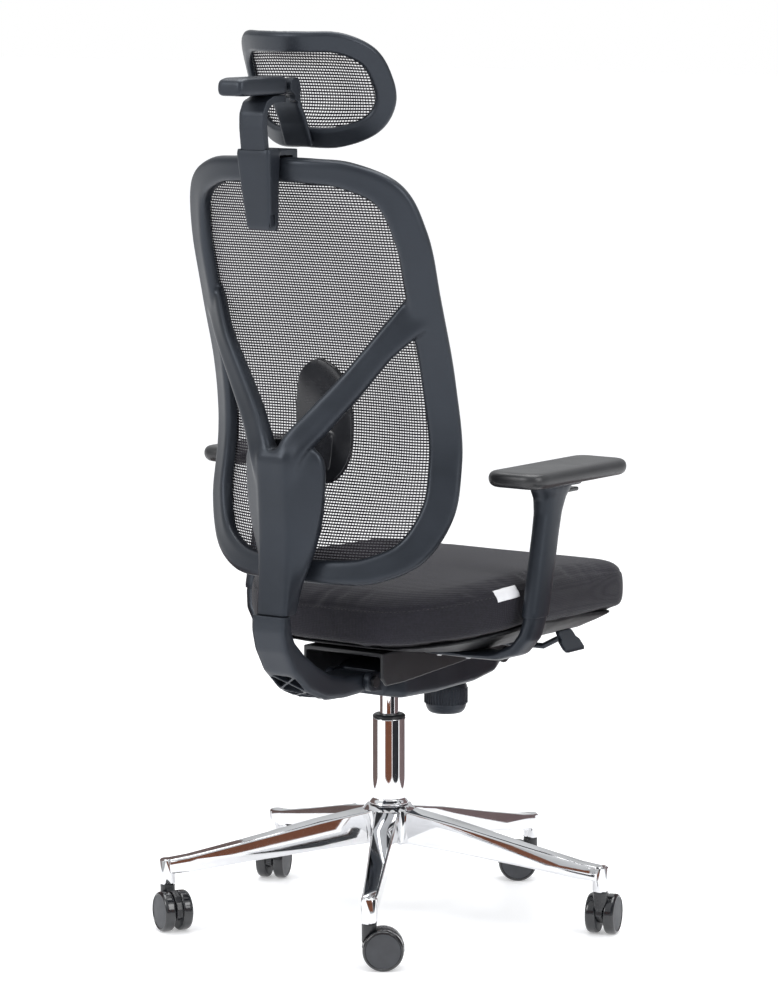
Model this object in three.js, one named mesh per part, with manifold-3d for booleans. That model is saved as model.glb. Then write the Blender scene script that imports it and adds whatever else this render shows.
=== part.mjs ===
// Swivel office chair: five-caster star base, gas lift, synchro mechanism, upholstered seat,
// height-adjustable armrests, framed mesh back on a curved lever, and an adjustable headrest.
// Millimetres, +Z up, the sitter faces -Y, and the sitter's right hand is at -X.
import * as THREE from 'three';
import { mergeVertices } from 'three/addons/utils/BufferGeometryUtils.js';
import Module from 'manifold-3d';

// ---------------------------------------------------------------- driving dimensions
const COLUMN_X = 9.7;           // lift axis, measured from the centre of the plan box
const COLUMN_Y = -13.2;

const BASE_RADIUS = 339;        // lift axis to caster stem
const BASE_TURN = 120.7;        // heading of the first arm, degrees from +X
const HUB_RADIUS = 39;
const HUB_BOTTOM = 116;
const HUB_TOP = 173;
const ARM_TIP_TOP = 105;
const SOCKET_BOTTOM = 67;
const SOCKET_RADIUS = 12;

const WHEEL_RADIUS = 30;
const WHEEL_WIDTH = 17;
const WHEEL_GAP = 11;            // between the two wheels of a caster
const CASTER_TRAIL = 20;        // stem axis to wheel axis
const CASTER_HEADINGS = [215.5, 287.5, 35.5, 110.5, 150.5];
const STEM_RADIUS = 5.5;

const TUBE_RADIUS = 25;
const TUBE_TOP = 305;
const PISTON_RADIUS = 14;

const RECLINE_Y = 95;           // back lever pivot
const RECLINE_Z = 376;
const SEAT_PIVOT_Y = -205;      // front pivot of the seat plate
const SEAT_PIVOT_Z = 382;
const PIVOT_RADIUS = 6;
const PLATE_HALF = 72;          // half width of the seat plate
const PLATE_BOTTOM = 418;
const PLATE_TOP = 424;
const KNOB_Y = -150;
const LEVER_Y = -149;
const LEVER_Z = 408;

const SEAT_HALF = 236;
const SEAT_FRONT = -322;
const SEAT_REAR = 153;
const SEAT_BOTTOM = 430;
const SEAT_CREASE = 490;        // top seam above the side band
const SEAT_RISE = 32;           // how far the side edges arch above the rear edge

const POST_X = 254;             // armrest post
const POST_Y = -14;             // at POST_Z
const POST_Z = 487;
const POST_RAKE = Math.tan(THREE.MathUtils.degToRad(12.2));
const SLEEVE_BOTTOM = 479;
const SLEEVE_TOP = 668.5;
const PAD_TOP = 700;
const PAD_WIDTH = 98;
const PAD_LENGTH = 258;

const BACK_WRAP = 0.00176;      // forward curl of the back: depth = WRAP * x * x
const BACK_RIM = 48;            // rim width at the sides
const BACK_RIM_SLIM = 0.72;     // share of that width left at the top and bottom
const BACK_RIM_THICK = 22;
const HEAD_LEAN = 0.385;        // headrest depth gained per unit of height
const HEAD_WRAP = 0.00495;
const HEAD_RIM = 31;
const HEAD_RIM_THICK = 14;
const HEAD_PIVOT_Y = 262;
const HEAD_PIVOT_Z = 1258;

const GAP = 0.3;                // clearance between separate pieces, and round a faceted shaft

// ---------------------------------------------------------------- materials
const plastic = (color, roughness) => new THREE.MeshStandardMaterial({ color, roughness });
const nylon = plastic(0x1d1e22, 0.55);
const glossy = plastic(0x101114, 0.25);
const shellGrey = plastic(0x3a3b40, 0.6);
const rubber = plastic(0x18181a, 0.8);
const foam = plastic(0x26272c, 0.7);
const fabric = plastic(0x3d3b44, 0.95);
const mesh = plastic(0x2a2b30, 0.9);
const chrome = new THREE.MeshStandardMaterial({ color: 0xd8dade, metalness: 1, roughness: 0.12 });
const steel = new THREE.MeshStandardMaterial({ color: 0x8c8f94, metalness: 1, roughness: 0.4 });

// ---------------------------------------------------------------- solids
const wasm = await Module();
wasm.setup();
const V = (x, y, z) => new THREE.Vector3(x, y, z);
const part = new THREE.Group();
part.name = 'swivel_office_chair';

function add(name, geometry, material) {
  const body = new THREE.Mesh(geometry.translate(COLUMN_X, COLUMN_Y, 0), material);
  body.name = name;
  part.add(body);
}

function toManifold(geometry) {
  const bare = geometry.clone();
  bare.deleteAttribute('normal');
  bare.deleteAttribute('uv');
  const welded = mergeVertices(bare, 1e-4);
  return new wasm.Manifold(new wasm.Mesh({
    numProp: 3,
    vertProperties: new Float32Array(welded.attributes.position.array),
    triVerts: new Uint32Array(welded.index.array),
  }));
}

function fromManifold(solid) {
  const { vertProperties, triVerts } = solid.getMesh();
  const geometry = new THREE.BufferGeometry();
  geometry.setAttribute('position', new THREE.BufferAttribute(new Float32Array(vertProperties), 3));
  geometry.setIndex(new THREE.BufferAttribute(new Uint32Array(triVerts), 1));
  geometry.computeVertexNormals();
  return geometry;
}

const join = (first, ...rest) =>
  fromManifold(rest.reduce((sum, next) => sum.add(toManifold(next)), toManifold(first)));
const cut = (first, ...rest) =>
  fromManifold(rest.reduce((sum, next) => sum.subtract(toManifold(next)), toManifold(first)));

// Closes a stack of equal-length rings into a solid; a looped stack joins its ends instead.
function loft(rings, looped = false) {
  const count = rings[0].length;
  const points = rings.flat();
  const index = [];
  const spans = looped ? rings.length : rings.length - 1;
  for (let i = 0; i < spans; i++) {
    const next = (i + 1) % rings.length;
    for (let j = 0; j < count; j++) {
      const k = (j + 1) % count;
      const [a, b, c, d] = [i * count + j, i * count + k, next * count + k, next * count + j];
      index.push(a, b, c, a, c, d);
    }
  }
  if (!looped) {
    const last = (rings.length - 1) * count;
    for (const [start, flip] of [[0, true], [last, false]]) {
      const centre = V(0, 0, 0);
      for (let j = 0; j < count; j++) centre.addScaledVector(points[start + j], 1 / count);
      const hub = points.push(centre) - 1;
      for (let j = 0; j < count; j++) {
        const k = (j + 1) % count;
        const fan = [hub, start + j, start + k];
        index.push(...(flip ? [fan[0], fan[2], fan[1]] : fan));
      }
    }
  }
  return outward(points, index);
}

// Builds the geometry, turned inside out if its faces point inwards.
function outward(points, index) {
  let volume = 0;
  for (let i = 0; i < index.length; i += 3) {
    const [a, b, c] = [points[index[i]], points[index[i + 1]], points[index[i + 2]]];
    volume += a.dot(V(0, 0, 0).crossVectors(b, c));
  }
  if (volume < 0) index.reverse();
  const geometry = new THREE.BufferGeometry().setFromPoints(points);
  geometry.setIndex(index);
  geometry.computeVertexNormals();
  return geometry;
}

function box(x0, x1, y0, y1, z0, z1) {
  const size = [x1 - x0, y1 - y0, z1 - z0];
  return new THREE.BoxGeometry(...size).translate((x0 + x1) / 2, (y0 + y1) / 2, (z0 + z1) / 2);
}

// Round bar between two points.
function rod(from, to, radius, sides = 24) {
  const along = to.clone().sub(from);
  const bar = new THREE.CylinderGeometry(radius, radius, along.length(), sides);
  bar.applyQuaternion(new THREE.Quaternion().setFromUnitVectors(V(0, 1, 0), along.clone().normalize()));
  return bar.translate(...from.clone().add(to).multiplyScalar(0.5));
}

// Turned piece about Z from [radius, z] pairs.
function turned(profile, sides = 48) {
  const lathe = new THREE.LatheGeometry(profile.map(([r, z]) => new THREE.Vector2(r, z)), sides);
  return lathe.rotateX(Math.PI / 2);
}

// Rounded rectangle as [u, v] pairs, counter-clockwise, steps per corner.
function roundRect(width, height, radius, steps = 3) {
  const pairs = [];
  for (let corner = 0; corner < 4; corner++) {
    const cu = (width / 2 - radius) * [1, -1, -1, 1][corner];
    const cv = (height / 2 - radius) * [1, 1, -1, -1][corner];
    for (let i = 0; i <= steps; i++) {
      const angle = (corner + i / steps) * Math.PI / 2;
      pairs.push([cu + radius * Math.cos(angle), cv + radius * Math.sin(angle)]);
    }
  }
  return pairs;
}

function oval(width, height, sides = 20) {
  return Array.from({ length: sides }, (_, i) => {
    const angle = i / sides * 2 * Math.PI;
    const round = (value) => Math.sign(value) * Math.abs(value) ** 0.75;
    return [width / 2 * round(Math.cos(angle)), height / 2 * round(Math.sin(angle))];
  });
}

// Sections swept along a path in the YZ plane; u runs along X, v across the path.
// stations: [y, z, width, thickness]
function swept(stations, radius, steps = 3) {
  const path = stations.map(([y, z]) => V(0, y, z));
  return loft(path.map((point, i) => {
    const before = path[Math.max(i - 1, 0)];
    const after = path[Math.min(i + 1, path.length - 1)];
    const tangent = after.clone().sub(before).normalize();
    const across = V(0, tangent.z, -tangent.y);
    const [, , width, thick] = stations[i];
    const pairs = roundRect(width, thick, Math.min(radius, thick * 0.45), steps);
    return pairs.map(([u, v]) => point.clone().add(V(u, 0, 0)).addScaledVector(across, v));
  }));
}

// Horizontal sections stacked in Z. stations: [z, x, y, width, depth, radius]
function stacked(stations, steps = 4) {
  return loft(stations.map(([z, x, y, width, depth, radius]) =>
    roundRect(width, depth, radius, steps).map(([u, v]) => V(x + u, y + v, z))));
}

function mirrored(geometry) {
  const copy = geometry.index ? geometry.toNonIndexed() : geometry.clone();
  copy.scale(-1, 1, 1);
  const position = copy.attributes.position;
  const points = [];
  for (let i = 0; i < position.count; i++) points.push(V(0, 0, 0).fromBufferAttribute(position, i));
  return outward(points, points.map((_, i) => i));
}

function spline(points, closed, count) {
  const curve = new THREE.CatmullRomCurve3(points, closed, 'centripetal');
  const spaced = curve.getSpacedPoints(count);
  if (closed) spaced.pop();
  return spaced;
}

// ---------------------------------------------------------------- star base and casters
const starArm = () => {
  const stations = [[20, 172, 118, 44], [39, 166, 116, 38], [110, 153, 109, 34],
    [220, 128, 96, 28], [309, 109, 84, 24], [339, 105, 83, 23]];
  const rings = stations.map(([r, top, bottom, width]) =>
    roundRect(width, top - bottom, 3.5, 2).map(([u, v]) => V(r, u, (top + bottom) / 2 + v)));
  const hollow = [[52, 158, 100, 24], [110, 147, 95, 24], [220, 123, 85, 19], [321, 102, 74, 14]];
  const inner = hollow.map(([r, top, bottom, width]) =>
    roundRect(width, top - bottom, 3, 1).map(([u, v]) => V(r, u, (top + bottom) / 2 + v)));
  const socket = turned([[0, SOCKET_BOTTOM], [SOCKET_RADIUS - 1, SOCKET_BOTTOM],
    [SOCKET_RADIUS, SOCKET_BOTTOM + 2], [SOCKET_RADIUS, ARM_TIP_TOP - 2],
    [SOCKET_RADIUS - 2, ARM_TIP_TOP], [0, ARM_TIP_TOP]], 16);
  const arm = cut(loft(rings), loft(inner));
  return join(arm, socket.translate(BASE_RADIUS, 0, 0));
};

const hub = turned([[0, HUB_BOTTOM], [HUB_RADIUS - 2, HUB_BOTTOM], [HUB_RADIUS, HUB_BOTTOM + 3],
  [HUB_RADIUS, HUB_TOP - 6], [HUB_RADIUS - 5, HUB_TOP], [0, HUB_TOP]], 40);
const hubBore = turned([[0, 100], [TUBE_RADIUS + GAP, 100], [TUBE_RADIUS + GAP, 190], [0, 190]], 40);
const socketBore = turned([[0, 60], [STEM_RADIUS + GAP, 60], [STEM_RADIUS + GAP, 99], [0, 99]], 14);
const headings = CASTER_HEADINGS.map((_, i) => THREE.MathUtils.degToRad(BASE_TURN + 72 * i));
const starBase = cut(
  join(hub, ...headings.map((heading) => starArm().rotateZ(heading))),
  hubBore,
  ...headings.map((heading) => socketBore.clone().translate(BASE_RADIUS, 0, 0).rotateZ(heading)));
add('star_base', starBase, chrome);

// Caster built about its stem, with the wheel axis at +X * trail.
const HOOD_RADIUS = WHEEL_RADIUS + 1;
const HOOD_WIDTH = WHEEL_GAP - 1.4;

function casterHood() {
  const rim = [];
  for (let i = 0; i <= 9; i++) {
    const angle = THREE.MathUtils.degToRad(-8 + i * 20.5);
    rim.push([HOOD_RADIUS * Math.cos(angle), HOOD_RADIUS * Math.sin(angle)]);
  }
  for (let i = 9; i >= 0; i--) {
    const angle = THREE.MathUtils.degToRad(-8 + i * 20.5);
    rim.push([(WHEEL_RADIUS - 4) * Math.cos(angle), (WHEEL_RADIUS - 4) * Math.sin(angle)]);
  }
  const slab = (outline, width) => new THREE.ExtrudeGeometry(
    new THREE.Shape(outline.map(([x, z]) => new THREE.Vector2(x, z))),
    { depth: width, bevelEnabled: false },
  ).rotateX(Math.PI / 2).translate(CASTER_TRAIL, width / 2, WHEEL_RADIUS);
  const web = rim.slice(0, 10).concat([[-14, -12], [0, -14], [16, -12]]);
  const boss = rod(V(0, 0, 40), V(0, 0, SOCKET_BOTTOM - GAP), 11, 16);
  const clear = [-1, 1].map((side) => rod(
    V(CASTER_TRAIL, side * (WHEEL_GAP / 2 - 0.7), WHEEL_RADIUS),
    V(CASTER_TRAIL, side * 40, WHEEL_RADIUS), WHEEL_RADIUS + 0.9, 20));
  const bore = rod(V(CASTER_TRAIL, -20, WHEEL_RADIUS), V(CASTER_TRAIL, 20, WHEEL_RADIUS), 4.3, 12);
  const stemHole = rod(V(0, 0, 56.5), V(0, 0, 90), STEM_RADIUS + GAP, 14);
  return cut(join(slab(rim, HOOD_WIDTH), slab(web, HOOD_WIDTH), boss), ...clear, bore, stemHole);
}

function casterStem() {
  return turned([[0, 57], [STEM_RADIUS, 57], [STEM_RADIUS, 97], [0, 97]], 14);
}

// Wheel with a flat tread facet straight below the axle, a stepped outer face and an axle bore.
function casterWheel(side) {
  const flat = Math.PI / 20;
  const rim = WHEEL_RADIUS / Math.cos(flat);
  const profile = [[4.3, 0], [rim, 0], [rim, WHEEL_WIDTH - 2], [rim - 2, WHEEL_WIDTH],
    [rim - 7, WHEEL_WIDTH - 1], [4.3, WHEEL_WIDTH - 1], [4.3, 0]];
  const wheel = turned(profile, 20).rotateZ(flat).rotateX(-side * Math.PI / 2);
  return wheel.translate(CASTER_TRAIL, side * WHEEL_GAP / 2, WHEEL_RADIUS);
}

function casterAxle() {
  const end = WHEEL_GAP / 2 + WHEEL_WIDTH - 1;
  return rod(V(CASTER_TRAIL, -end, WHEEL_RADIUS), V(CASTER_TRAIL, end, WHEEL_RADIUS), 4, 12);
}

CASTER_HEADINGS.forEach((heading, i) => {
  const place = (geometry) => geometry
    .rotateZ(THREE.MathUtils.degToRad(heading))
    .translate(BASE_RADIUS * Math.cos(headings[i]), BASE_RADIUS * Math.sin(headings[i]), 0);
  add(`caster${i + 1}_hood`, place(casterHood()), glossy);
  add(`caster${i + 1}_stem`, place(casterStem()), steel);
  add(`caster${i + 1}_wheel_a`, place(casterWheel(1)), rubber);
  add(`caster${i + 1}_wheel_b`, place(casterWheel(-1)), rubber);
  add(`caster${i + 1}_axle`, place(casterAxle()), steel);
});

// ---------------------------------------------------------------- gas lift
add('lift_tube', turned([[PISTON_RADIUS + 4, 112], [TUBE_RADIUS, 112], [TUBE_RADIUS, HUB_TOP + GAP],
  [TUBE_RADIUS + 4.5, HUB_TOP + GAP], [TUBE_RADIUS + 4.5, HUB_TOP + 2], [TUBE_RADIUS, HUB_TOP + 8],
  [TUBE_RADIUS, TUBE_TOP], [PISTON_RADIUS + 4, TUBE_TOP], [PISTON_RADIUS + 4, 112]], 40), chrome);
add('lift_bushing', turned([[PISTON_RADIUS + GAP, TUBE_TOP - 22], [PISTON_RADIUS + 3.95, TUBE_TOP - 22],
  [PISTON_RADIUS + 3.95, TUBE_TOP + GAP], [TUBE_RADIUS, TUBE_TOP + GAP], [TUBE_RADIUS - 1, TUBE_TOP + 6],
  [PISTON_RADIUS + GAP, TUBE_TOP + 6], [PISTON_RADIUS + GAP, TUBE_TOP - 22]], 40), glossy);
add('lift_piston', turned([[0, 200], [PISTON_RADIUS - 1, 200], [PISTON_RADIUS, 202],
  [PISTON_RADIUS, 374], [0, 374]], 40), chrome);

// ---------------------------------------------------------------- tilt mechanism
const housingShape = loft([
  [-240, 396, 378, 38], [-232, 401, 366, 52], [-195, 402, 352, 62], [-140, 401, 345, 64],
  [-40, 397, 343, 64], [40, 392, 345, 60], [74, 389, 352, 46],
].map(([y, top, bottom, half]) => roundRect(2 * half, top - bottom, 9, 3)
  .map(([u, v]) => V(u, y, (top + bottom) / 2 + v))));
const cheek = (side) => join(
  box(side > 0 ? 30.4 : -41, side > 0 ? 41 : -30.4, 40, RECLINE_Y, 361, 389),
  rod(V(side * 30.4, RECLINE_Y, RECLINE_Z), V(side * 41, RECLINE_Y, RECLINE_Z), 15, 24));
const pivotBore = (y, z) => rod(V(-90, y, z), V(90, y, z), PIVOT_RADIUS + GAP, 24);
add('tilt_housing', cut(
  join(housingShape, cheek(1), cheek(-1)),
  rod(V(0, 0, 330), V(0, 0, 374 + GAP), PISTON_RADIUS + GAP, 40),
  rod(V(0, KNOB_Y, 330), V(0, KNOB_Y, 366), 8.3, 20),
  pivotBore(SEAT_PIVOT_Y, SEAT_PIVOT_Z),
  pivotBore(RECLINE_Y, RECLINE_Z)), nylon);
add('back_pivot_axle', join(
  rod(V(-44, RECLINE_Y, RECLINE_Z), V(44, RECLINE_Y, RECLINE_Z), PIVOT_RADIUS, 24),
  ...[-1, 1].map((side) => rod(V(side * 41.3, RECLINE_Y, RECLINE_Z),
    V(side * 45.5, RECLINE_Y, RECLINE_Z), 9, 6))), steel);
add('seat_pivot_axle', join(
  rod(V(-76, SEAT_PIVOT_Y, SEAT_PIVOT_Z), V(76, SEAT_PIVOT_Y, SEAT_PIVOT_Z), PIVOT_RADIUS, 24),
  ...[-1, 1].map((side) => rod(V(side * (PLATE_HALF + GAP), SEAT_PIVOT_Y, SEAT_PIVOT_Z),
    V(side * 77, SEAT_PIVOT_Y, SEAT_PIVOT_Z), 10, 24))), steel);

// Tension knob: scalloped grip under the housing on a short spindle.
const scallops = Array.from({ length: 32 }, (_, i) => {
  const angle = i / 32 * 2 * Math.PI;
  return [Math.cos(angle), Math.sin(angle), i % 4 < 2 ? 1 : 0.94];
});
const knobGrip = loft([[290, 21], [293, 27], [299, 31], [308, 33.5], [327, 34.5], [334, 33.5], [338, 30]]
  .map(([z, r]) => scallops.map(([c, s, k]) => V(r * c * k, KNOB_Y + r * s * k, z))));
add('tension_knob', join(knobGrip, rod(V(0, KNOB_Y, 330), V(0, KNOB_Y, 362), 8, 20)), nylon);

// Seat plate: inverted channel over the housing, hung on the front pivot.
const flange = (side) => {
  const [x0, x1] = side > 0 ? [PLATE_HALF - 5, PLATE_HALF] : [-PLATE_HALF, -PLATE_HALF + 5];
  return join(
    loft([x0, x1].map((x) => [[118, PLATE_TOP - 1], [118, 386], [106, 374], [60, 374], [-226, 392],
      [-226, PLATE_TOP - 1]].map(([y, z]) => V(x, y, z)))),
    box(x0, x1, -222, -150, 378, 400),
    rod(V(x0, SEAT_PIVOT_Y, SEAT_PIVOT_Z), V(x1, SEAT_PIVOT_Y, SEAT_PIVOT_Z), 16, 24));
};
const leverSlot = box(-90, 90, LEVER_Y - 9, LEVER_Y + 9, 394, 417.5);
add('seat_plate', cut(
  join(box(-PLATE_HALF, PLATE_HALF, -226, 118, PLATE_BOTTOM, PLATE_TOP), flange(1), flange(-1)),
  pivotBore(SEAT_PIVOT_Y, SEAT_PIVOT_Z), leverSlot), steel);

// Paddle levers: a wire arm through the plate's slot and a flat finger paddle hanging at its end.
const paddle = () => {
  const arm = rod(V(66.5, LEVER_Y, LEVER_Z), V(180, LEVER_Y, LEVER_Z + 2), 4.5, 12);
  const rise = rod(V(178, LEVER_Y, LEVER_Z + 1.8), V(217, LEVER_Y, LEVER_Z + 22), 4.5, 12);
  const grip = loft([[438, 214, 34, 6], [435, 215.5, 38, 8], [427, 221, 40, 8], [423, 224, 50, 8],
    [412, 232.5, 51, 8], [408, 235, 46, 6]].map(([z, x, width, thick]) =>
    roundRect(thick, width, 2.4, 2).map(([u, v]) => V(x + u, LEVER_Y + v, z))));
  return join(arm, rise, grip);
};
add('tilt_lock_lever', paddle(), nylon);
add('height_lever', mirrored(paddle()), nylon);

// ---------------------------------------------------------------- seat
const FRONT_CORNER = 70;
const REAR_CORNER = 180;

function seatOutline(inset, scale = 1) {
  const pairs = [];
  const corner = (cx, cy, radius, from, steps) => {
    for (let i = 0; i <= steps; i++) {
      const angle = (from + i / steps) * Math.PI / 2;
      pairs.push([cx + (radius - inset) * Math.cos(angle), cy + (radius - inset) * Math.sin(angle)]);
    }
  };
  const rear = [SEAT_HALF - REAR_CORNER, SEAT_REAR - REAR_CORNER];
  const front = [SEAT_HALF - FRONT_CORNER, SEAT_FRONT + FRONT_CORNER];
  corner(rear[0], rear[1], REAR_CORNER, 0, 8);
  corner(-rear[0], rear[1], REAR_CORNER, 1, 8);
  for (const k of [0.3, 0.65]) pairs.push([-SEAT_HALF + inset, rear[1] + k * (front[1] - rear[1])]);
  corner(-front[0], front[1], FRONT_CORNER, 2, 5);
  corner(front[0], front[1], FRONT_CORNER, 3, 5);
  for (const k of [0.35, 0.7]) pairs.push([SEAT_HALF - inset, front[1] + k * (rear[1] - front[1])]);
  return pairs.map(([x, y]) => [x * scale, -85 + (y + 85) * scale]);
}

const arch = (y) => SEAT_RISE * (1 - ((y + 90) / (y > -90 ? 243 : 320)) ** 2);

// levels: [inset, z, share of the arch, scale in plan]
function seatBody(levels) {
  return loft(levels.map(([inset, z, share, scale = 1]) =>
    seatOutline(inset, scale).map(([x, y]) => V(x, y, z + share * arch(y)))));
}

add('seat_shell', seatBody([[64, PLATE_TOP + GAP, 0, 0.5], [64, PLATE_TOP + GAP, 0], [34, 427, 0.5],
  [16, 429, 0.85], [15, SEAT_BOTTOM - 0.5, 1], [15, SEAT_BOTTOM - 0.5, 1, 0.75],
  [15, SEAT_BOTTOM - 0.5, 1, 0.5], [15, SEAT_BOTTOM - 0.5, 1, 0.25]]), shellGrey);
add('seat_cushion', seatBody([[10, SEAT_BOTTOM + 0.5, 1, 0.25], [10, SEAT_BOTTOM + 0.5, 1, 0.5],
  [10, SEAT_BOTTOM + 0.5, 1, 0.75], [10, SEAT_BOTTOM + 0.5, 1], [2, SEAT_BOTTOM + 8, 1],
  [0, SEAT_BOTTOM + 30, 1], [2, SEAT_CREASE, 1], [12, SEAT_CREASE + 9, 1], [36, SEAT_CREASE + 13, 1],
  [36, SEAT_CREASE + 11, 1, 0.75], [36, SEAT_CREASE + 8, 1, 0.45]]), fabric);

// ---------------------------------------------------------------- armrests
const postY = (z) => POST_Y - (z - POST_Z) * POST_RAKE;
const CARRIER_Z = SLEEVE_TOP + GAP;
const PAD_BOTTOM = CARRIER_Z + 7 + GAP;

function armBracket() {
  const bend = [[84, 418, 60, 11.6], [165, 418, 56, 11.6], [205, 420, 52, 15], [235, 431, 48, 20],
    [POST_X - 4, 452, 45, 23], [POST_X, 474, 44.4, 24.4]];
  const rings = bend.map(([x, z, width, thick], i) => {
    const before = bend[Math.max(i - 1, 0)];
    const after = bend[Math.min(i + 1, bend.length - 1)];
    const slope = i === bend.length - 1 ? Math.PI / 2 : Math.atan2(after[1] - before[1], after[0] - before[0]);
    return oval(width, thick).map(([u, v]) => V(x - v * Math.sin(slope), postY(z) * (x / POST_X) + u,
      z + v * Math.cos(slope)));
  });
  for (const z of [490, 638]) rings.push(oval(44.4, 24.4).map(([u, v]) => V(POST_X - v, postY(z) + u, z)));
  return loft(rings);
}

function armSleeve() {
  const ring = (width, depth, z) => oval(width, depth).map(([u, v]) => V(POST_X + u, postY(z) + v, z));
  const outer = loft([ring(28, 48, SLEEVE_BOTTOM), ring(30, 50, SLEEVE_BOTTOM + 3), ring(30, 50, 600),
    ring(31, 52, 630), ring(35, 62, 652), ring(41, 78, 664), ring(42, 82, SLEEVE_TOP)]);
  const inner = loft([ring(25, 45, SLEEVE_BOTTOM - 5), ring(25, 45, 652)]);
  const tab = box(POST_X - 10.5, POST_X + 10.5, postY(662) - 60, postY(662) - 16, 655, 667);
  return cut(outer, inner, tab);
}

function armButton() {
  const y = postY(662);
  return loft([[y - 64, 15, 4], [y - 60, 20, 6], [y - 20, 20, 6], [y - 17, 20, 6]].map(([at, width, height]) =>
    roundRect(width, height, 1.8, 2).map(([u, v]) => V(POST_X + u, at, 658.8 + v))));
}

function padCarrier() {
  return stacked([[CARRIER_Z, POST_X, postY(670), 46, 120, 20], [CARRIER_Z + 7, POST_X, postY(670), 50, 124, 22]]);
}

function armPad() {
  const y = (59 - 182) / 2;
  const x = POST_X + 7;
  return stacked([[PAD_BOTTOM, x, y, PAD_WIDTH - 18, PAD_LENGTH - 18, 17],
    [PAD_BOTTOM + 4, x, y, PAD_WIDTH - 5, PAD_LENGTH - 5, 24], [PAD_BOTTOM + 11, x, y, PAD_WIDTH, PAD_LENGTH, 26],
    [PAD_TOP - 6, x, y, PAD_WIDTH - 2, PAD_LENGTH - 2, 25], [PAD_TOP - 1.5, x, y, PAD_WIDTH - 9, PAD_LENGTH - 9, 22],
    [PAD_TOP, x, y, PAD_WIDTH - 22, PAD_LENGTH - 22, 16]], 4);
}

for (const [side, hand] of [['left', (g) => g], ['right', mirrored]]) {
  add(`${side}_arm_bracket`, hand(armBracket()), nylon);
  add(`${side}_arm_sleeve`, hand(armSleeve()), nylon);
  add(`${side}_arm_button`, hand(armButton()), glossy);
  add(`${side}_pad_carrier`, hand(padCarrier()), nylon);
  add(`${side}_arm_pad`, hand(armPad()), foam);
}

// ---------------------------------------------------------------- curved surfaces of the back
const backCentre = new THREE.CatmullRomCurve3([[480, 246], [540, 234], [640, 219], [740, 203], [840, 214],
  [940, 242], [1050, 271], [1150, 290], [1200, 296]].map(([z, y]) => V(0, y, z)), false, 'centripetal')
  .getPoints(160);
function backY(x, z) {
  const above = backCentre.findIndex((point) => point.z > z);
  const [low, high] = [backCentre[above - 1], backCentre[above]];
  return low.y + (high.y - low.y) * (z - low.z) / (high.z - low.z) - BACK_WRAP * x * x;
}
const headY = (x, z) => 207 + (z - 1170) * HEAD_LEAN - HEAD_WRAP * x * x;

// Unit normal of a depth surface, pointing to the rear.
function rearNormal(depth, x, z) {
  return V(depth(x - 1, z) - depth(x + 1, z), 2, depth(x, z - 1) - depth(x, z + 1)).normalize();
}

// Closed loop through half-outline [x, z] points, mirrored about X = 0.
function symmetricLoop(half, count) {
  const right = half.map(([x, z]) => V(x, 0, z));
  const left = half.slice(1, -1).reverse().map(([x, z]) => V(-x, 0, z));
  return spline([...right, ...left], true, count);
}

// Frame of a point on a loop: outward direction along the surface, and the rear normal.
function loopFrame(loop, i, depth) {
  const at = (k) => {
    const point = loop[(k + loop.length) % loop.length];
    return V(point.x, depth(point.x, point.z), point.z);
  };
  const point = at(i);
  const tangent = at(i + 1).sub(at(i - 1)).normalize();
  const rear = rearNormal(depth, point.x, point.z);
  const out = V(0, 0, 0).crossVectors(rear, tangent).normalize();
  return { point, out, rear };
}

// Half the rim's width, which narrows from its sides to its top and bottom.
const rimHalf = (width, slim) => (out) =>
  width / 2 * (slim + (1 - slim) * Math.min(1, 1.25 * Math.abs(out.x)));

// Rim with a rabbet at its inner front edge, where the mesh is held.
function rimRing(loop, depth, half, thick, rabbet) {
  const t = thick / 2;
  return loft(loop.map((_, i) => {
    const { point, out, rear } = loopFrame(loop, i, depth);
    const w = half(out);
    const section = [[-w, -t + rabbet], [-w + 9, -t + rabbet], [-w + 9, -t], [w - 5, -t], [w, -t + 5],
      [w, t - 4], [w - 4, t], [-w + 4, t], [-w, t - 4]];
    return section.map(([u, v]) => point.clone().addScaledVector(out, u).addScaledVector(rear, v));
  }), true);
}

// Depth of a cloth pulled flat between the sides of a rim, which follows the rim at top and bottom.
function filmDepth(depth, wrap, half, [low, high], reach) {
  return (x, z) => {
    const bound = Math.min(1, Math.exp((z - high) / reach) + Math.exp((low - z) / reach));
    return depth(0, z) - wrap * (bound * x * x + (1 - bound) * half * half);
  };
}

// Stretched sheet inside a rim: rings shrinking to the middle, given a thickness.
function membrane(loop, depth, film, inset, offset, thick, shares) {
  const middle = loop.reduce((sum, p) => sum.add(p), V(0, 0, 0)).multiplyScalar(1 / loop.length);
  const edge = loop.map((_, i) => {
    const { point, out } = loopFrame(loop, i, depth);
    return point.addScaledVector(out, -inset(out));
  });
  const ring = (share, lift) => edge.map((point) => {
    const x = middle.x + (point.x - middle.x) * share;
    const z = middle.z + (point.z - middle.z) * share;
    const hold = share ** 4;
    const surface = (u, w) => hold * depth(u, w) + (1 - hold) * film(u, w);
    return V(x, surface(x, z), z).addScaledVector(rearNormal(surface, x, z), offset + lift);
  });
  const front = shares.map((share) => ring(share, -thick / 2));
  const rear = [...shares].reverse().map((share) => ring(share, thick / 2));
  return loft([...front, ...rear]);
}

// ---------------------------------------------------------------- back
const backLoop = symmetricLoop([[0, 557], [60, 557], [115, 562], [165, 588], [194, 645], [197, 715],
  [193, 820], [191, 950], [187, 1045], [166, 1106], [115, 1133], [60, 1139], [0, 1140]], 60);

const backHalf = rimHalf(BACK_RIM, BACK_RIM_SLIM);

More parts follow.
